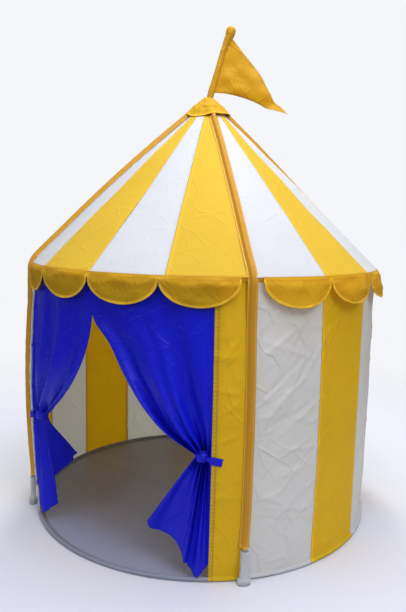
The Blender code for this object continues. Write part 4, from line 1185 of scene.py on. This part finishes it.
# %% [markdown]
# The curtains are cut from blue polyester satin. Each is a rectangle, as wide as its half of the doorway,
# sewn along the top and behind its door strip, and pulled to the side by a tie. So every row of the cloth
# keeps its length while it gets narrower. The rows are laid from the free edge to the sewn edge, down
# to the tie, and from there to the lower edge of the tail, which opens again.

# %% Curtain rows
CURTAIN_FLAT = (0.31, 0.74)
TIE_Z = {"right": 0.315, "left": 0.309}
TIE_AZIMUTH = (31.6, 34.8)           # the gathered cloth inside the tie, free side and sewn side
TUCK_AZIMUTH = 37.4                  # where the sewn edge ends, behind the door strip
CURTAIN_IN = 4 * MM                  # how far the free cloth hangs inside the wall's line
SEWN_FROM = 0.90                     # the share of the width from which it lies flat behind the door strip
# Free edge's azimuth and height, height at the sewn edge, and how far the free edge hangs inwards, in mm.
CURTAIN_EDGES = {
    "right": ((0.25, 0.7238, 0.7238, 0), (0.25, 0.622, 0.640, 0), (5.8, 0.567, 0.572, 0),
              (10.9, 0.493, 0.508, 0), (16.8, 0.418, 0.445, 4), (22.2, 0.368, 0.395, 9),
              (27.4, 0.337, 0.355, 15), (31.6, TIE_Z["right"], TIE_Z["right"], 19)),
    "left": ((0.25, 0.7238, 0.7238, 0), (0.30, 0.616, 0.640, 0), (2.2, 0.547, 0.556, 0),
             (5.1, 0.493, 0.503, 0), (9.4, 0.442, 0.456, 3), (15.8, 0.393, 0.412, 12),
             (23.0, 0.352, 0.368, 21), (28.6, 0.326, 0.335, 27), (31.6, TIE_Z["left"], TIE_Z["left"], 20))}
# Place across the cloth, then azimuth, radius and height of the tail's lower edge.
CURTAIN_TAILS = {
    "right": ((0.0, 17.2, 0.476, 0.130), (0.05, 17.7, 0.466, 0.112), (0.15, 20.6, 0.462, 0.099),
              (0.27, 24.4, 0.459, 0.091), (0.38, 26.8, 0.469, 0.079), (0.50, 28.6, 0.4955, 0.054),
              (0.64, 29.9, 0.4955, 0.034), (0.80, 32.4, 0.4955, 0.013), (0.90, 34.2, 0.4950, 0.026),
              (1.0, 36.4, 0.4960, 0.060)),
    "left": ((0.0, 35.5, 0.390, 0.175), (0.14, 34.0, 0.412, 0.158), (0.28, 31.6, 0.442, 0.138),
             (0.42, 29.4, 0.464, 0.118), (0.55, 28.8, 0.468, 0.060), (0.70, 29.8, 0.480, 0.036),
             (0.85, 32.4, 0.500, 0.020), (0.92, 34.0, 0.503, 0.034), (1.0, 36.4, 0.5060, 0.090))}


def curtain_line(azimuth, z):
    """Radius of a curtain without its folds: under the hoop at the top, level with the wall at the jamb."""
    share = np.clip(azimuth / JAMB, 0, 1) ** 2
    inset = CURTAIN_IN * np.minimum(1, (WALL_Z1 - z) / 0.1) * (1 - share)
    return (HOOP_R - CLOTH) * (1 - share) + (wall_radius(JAMB, z) - CLOTH - 1.5 * MM) * share - inset


def sewn_down(s):
    """0 over the free cloth, and up to 1 over its last part, behind the door strip."""
    return np.clip((s - SEWN_FROM) / (1 - SEWN_FROM), 0, 1)


def curtain_rows(side, s, down):
    """Azimuth, radius and height of the cloth without its folds, and how far down its length the tie is.
    s runs across it from the free edge to the sewn one, and down from its top to the tail's lower edge."""
    edges = np.array(CURTAIN_EDGES[side])
    path = np.hypot(np.diff(np.radians(edges[:, 0])) * WALL_R, np.diff(edges[:, 1]))
    knots = np.concatenate([[0], np.cumsum(path)]) / CURTAIN_FLAT[1]
    tie_down = knots[-1]
    above = np.minimum(down, tie_down)
    free_azimuth, free_z, sewn_z, free_in = (through(knots, edges[:, i], above) for i in range(4))
    body = free_azimuth + (TIE_AZIMUTH[1] - free_azimuth) * np.minimum(s / SEWN_FROM, 1)
    body = body + (TUCK_AZIMUTH - body) * sewn_down(s)
    spread_out = free_azimuth + (TUCK_AZIMUTH - free_azimuth) * s
    gathered = (above / tie_down) ** 5
    azimuth = spread_out * (1 - gathered) + body * gathered
    z = free_z + (sewn_z - free_z) * s
    inward = free_in * MM * ((1 - s) * (1 - gathered) + (1 - sewn_down(s)) * gathered)
    radius = curtain_line(azimuth, z) - inward

    tail = np.array(CURTAIN_TAILS[side])
    low_azimuth, low_radius, low_z = (through(tail[:, 0], tail[:, i], s) for i in (1, 2, 3))
    below = np.clip((down - tie_down) / (1 - tie_down), 0, 1)
    azimuth = azimuth + (low_azimuth - azimuth) * below
    radius = radius + (low_radius - radius) * below
    return azimuth, radius, z + (low_z - z) * below, tie_down


print("curtains: ties at", TIE_Z["right"], "and", TIE_Z["left"], "m above the ground")

# %% [markdown]
# A row that gets narrower has cloth left over, and it stands up as folds that all run to the tie. Broad
# folds come from a profile across the cloth, and lie down where the tie holds it. Narrow pleats grow towards
# the tie and are deepest in it, so they give the gathered bundle its thickness. The flap of the tail, on its
# free side, is almost free of pleats. Along the sewn edge the cloth lies against the inside of the strip.

# %% Curtains
BUNDLE_DEPTH = 15 * MM               # half of the bundle's depth in the tie, towards the tent's middle
CURTAIN_COLUMNS, CURTAIN_ROWS = 128, 112
CURTAIN_HEM = 13 * MM
PLEATS_ACROSS = 6.5
PLEATED_TO = 0.92                    # the share of the width that the pleats are spread over
FLAP_TO = 0.50                       # the share of the tail's width, from its free edge, that is its flap
AGAINST = 1.1 * MM                   # from the strip's inner face to the curtain sewn behind it
SATIN = woven_cloth("blue polyester satin", "#0F16C3", "#0F16C3", "#171BA0", "#0F16C3", 0.05, 0.40, 1.3 * MM,
                    patch=46 * MM, specular=0.22)
# Place across the cloth and height of the broad folds there, where 1 is a crest.
CURTAIN_FOLDS = {
    "right": ((0, 0.1), (0.05, 0.55), (0.15, -1.0), (0.27, 0.7), (0.42, 1.0), (0.54, 0.4), (0.64, -1.0),
              (0.74, 0.4), (0.84, 0.75), (0.94, -0.2), (1, 0)),
    "left": ((0, 0.1), (0.06, 0.6), (0.15, -0.9), (0.27, 0.8), (0.40, 0.9), (0.53, -0.9), (0.68, 0.6),
             (0.90, -0.4), (1, 0))}
curtain_creases = make_creases(170, *CURTAIN_FLAT, (0.02, 0.08), (2.2 * MM, 4.2 * MM),
                               (0.4 * MM, 1.4 * MM), 56)


def curtain_folds(side, s, down, tie_down):
    """How far the broad folds and the pleats stand up from the laid rows."""
    profile = np.array(CURTAIN_FOLDS[side])
    broad = through(profile[:, 0], profile[:, 1], s)
    broad_lift = np.interp(down, (0, 0.2, tie_down * 0.62, tie_down * 0.88, tie_down, tie_down + 0.08, 1),
                           np.array((0.8, 5.5, 12.5, 12.5, 0.8, 5.0, 8.0)) * MM)
    swing = s + 0.012 * np.sin(9 * s + 7 * down)
    rounded = np.sqrt(np.clip(1 - (2 * np.minimum(s / PLEATED_TO, 1) - 1) ** 2, 0, 1))
    pleats = np.sin(2 * math.pi * PLEATS_ACROSS * swing + 0.6 * np.sin(11 * s)) * rounded
    pleat_lift = np.interp(down, (0.1, tie_down * 0.60, tie_down * 0.86, tie_down - 0.02, tie_down + 0.02,
                                  tie_down + 0.12, 1),
                           np.array((0.3, 2.6, 6.5, BUNDLE_DEPTH / MM, BUNDLE_DEPTH / MM, 7.0, 5.0)) * MM)
    below = (down - tie_down) / (1 - tie_down)
    flap = np.clip((FLAP_TO - s) / 0.15, 0, 1) * np.clip(below / 0.25, 0, 1)
    return (broad * broad_lift + pleats * pleat_lift * (1 - 0.75 * flap)) * (1 - sewn_down(s))


def curtain(side, hand):
    """One curtain: laid, folded, hemmed and sewn to its strip. hand is 1 for the right, -1 for the left."""
    s = np.linspace(0, 1, CURTAIN_COLUMNS)[None, :]
    down = np.linspace(0, 1, CURTAIN_ROWS)[:, None]
    azimuth, radius, z, tie_down = curtain_rows(side, s, down)
    cut_s, cut_t = s * CURTAIN_FLAT[0] + 0 * down, (1 - down) * CURTAIN_FLAT[1] + 0 * s
    near_tie = np.exp(-((down - tie_down) / 0.05) ** 2)
    small = crease_height(curtain_creases, cut_s, cut_t) * (1 - 0.7 * near_tie)
    edge = np.minimum(cut_s, np.where(down > tie_down, cut_t, 1.0))
    hem = np.interp(edge, np.array((0, 1.5, 4, 6.5, 9, 12, 14)) * MM,
                    np.array((-0.3, 0.9, 0.2, 0.8, 0.1, 0.5, 0)) * MM)
    lift = curtain_folds(side, s, down, tie_down) + small + hem * (1 - near_tie)
    radius = radius + lift * np.clip(down / 0.05, 0, 1)
    against = wall_surface(hand * azimuth, z) - SHEET - AGAINST
    sewn = np.clip((azimuth - JAMB + 0.9) / 0.9, 0, 1) * (s > 0.5)
    points = polar(hand * azimuth, radius + (against - radius) * sewn, z)
    order = slice(None, None, -hand)
    layers = np.interp(edge, (CURTAIN_HEM, CURTAIN_HEM + MM), (1, 0))
    grids = [grid[order] for grid in (points, cut_s, cut_t, edge, cut_t + cut_s, layers)]
    piece = lay_sheet(f"{side}_curtain_cloth", *grids, SATIN)
    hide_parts(f"curtain_{side}")
    return points


for side, hand in (("right", 1), ("left", -1)):
    grid = curtain(side, hand)
    over, down = np.diff(grid, axis=1)[:-1], np.diff(grid, axis=0)[:, :-1]
    laid, flat = np.linalg.norm(np.cross(over, down), axis=2).sum(), math.prod(CURTAIN_FLAT)
    print(side, "curtain:", round(float(laid), 3), "of", round(flat, 3), "square metres")

# %% [markdown]
# A tie is a folded strip of the same satin, wrapped once round the gathered curtain, with its loose end lying
# over the door strip. The wrap pulls into ridges along its length. The loose end is doubled and stitched, so
# it is stiff, and it hangs down a little.

# %% Ties
BUNDLE_IN = 19 * MM                  # how far the bundle's middle lies inside the door strip's line
WRAP_HALF = (17.5 * MM, 17.0 * MM)   # half width and half depth round the gathered cloth
WRAP_HEIGHT = 27 * MM
WRAP_COLUMNS, WRAP_ROWS = 96, 26
WRAP_RIDGES, RIDGE_LIFT = 3.5, 0.8 * MM
WRAP_SWAY = 1.2 * MM                 # how far it rises and sinks on its way round
TAB_LENGTH = 0.036
TAB_HALF = 9.5 * MM
TAB_THICK = 1.2 * MM                 # doubled and stitched
TAB_DROOP = math.radians(14)
TAB_START = 34.3                     # azimuth of its sewn end, in the wrap


def tie(side, hand):
    """The wrap round a curtain, and its loose end."""
    middle_azimuth = hand * sum(TIE_AZIMUTH) / 2
    middle_z = TIE_Z[side]
    turn = np.radians(np.arange(WRAP_COLUMNS)[None, :] * 360 / WRAP_COLUMNS)
    up = np.linspace(0, 1, WRAP_ROWS)[:, None]
    ridge = np.sin(2 * math.pi * WRAP_RIDGES * up + 0.7 * np.sin(turn * 2)) * np.sin(math.pi * up) ** 0.4
    ridge = RIDGE_LIFT * ridge
    pinch = 0.95 - 0.10 * np.cos(2 * math.pi * up)
    side_way = np.cos(turn) * (WRAP_HALF[0] * pinch + ridge)
    out_way = np.sin(turn) * (WRAP_HALF[1] * pinch + ridge)
    middle = curtain_line(abs(middle_azimuth), middle_z) - BUNDLE_IN
    z = middle_z + WRAP_HEIGHT * (up - 0.5) + WRAP_SWAY * np.sin(turn + 0.6)
    points = polar_aside(middle_azimuth, middle + out_way, side_way, z)
    long_way = turn * WRAP_HALF[0] + 0 * up
    edge = np.minimum(up, 1 - up) * WRAP_HEIGHT
    points = points[:, ::-1]
    band = lay_sheet(f"{side}_tie_band", points, long_way, up * WRAP_HEIGHT, edge, long_way, 1.0, SATIN,
                     ring=True)
    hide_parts(f"curtain_tie_{side}")

    way = np.linspace(0, 1, 26)[None, :]
    across = np.linspace(-1, 1, 16)[:, None]
    narrow = np.interp(way, (0, 0.12, 0.3, 1), (0.35, 0.60, 0.95, 1.0))
    cut_way, cut_up = way * TAB_LENGTH + 0 * across, across * TAB_HALF * narrow
    level = cut_way * math.cos(TAB_DROOP) + cut_up * math.sin(TAB_DROOP)
    azimuth = TAB_START + np.degrees(level / WALL_R)
    z = middle_z - 0.5 * MM - cut_way * math.sin(TAB_DROOP) + cut_up * math.cos(TAB_DROOP)
    base = np.interp(azimuth, (TAB_START, 35.2, 35.8, 36.6), np.array((-4.0, 1.6, 3.4, 2.6)) * MM)
    bow = 1.8 * MM * np.sin(math.pi * way) + 0.5 * MM * np.sin(across * 4 + way * 3) + 1.5 * MM * way ** 3
    lay = polar(hand * azimuth, wall_radius(JAMB, 0.30) + base + bow, z)
    order = slice(None, None, hand)
    rim = np.minimum(TAB_HALF * (1 - np.abs(across)) + 0 * way, np.minimum(cut_way, TAB_LENGTH - cut_way))
    grids = [grid[order] for grid in (lay, cut_way, cut_up, rim, cut_way)]
    tab = lay_sheet(f"{side}_tie_end", *grids, 1.0, SATIN, thickness=TAB_THICK)
    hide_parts(f"curtain_tie_{side}")


for side, hand in (("right", 1), ("left", -1)):
    tie(side, hand)
print("ties:", round(TAB_LENGTH / MM), "mm of loose end")
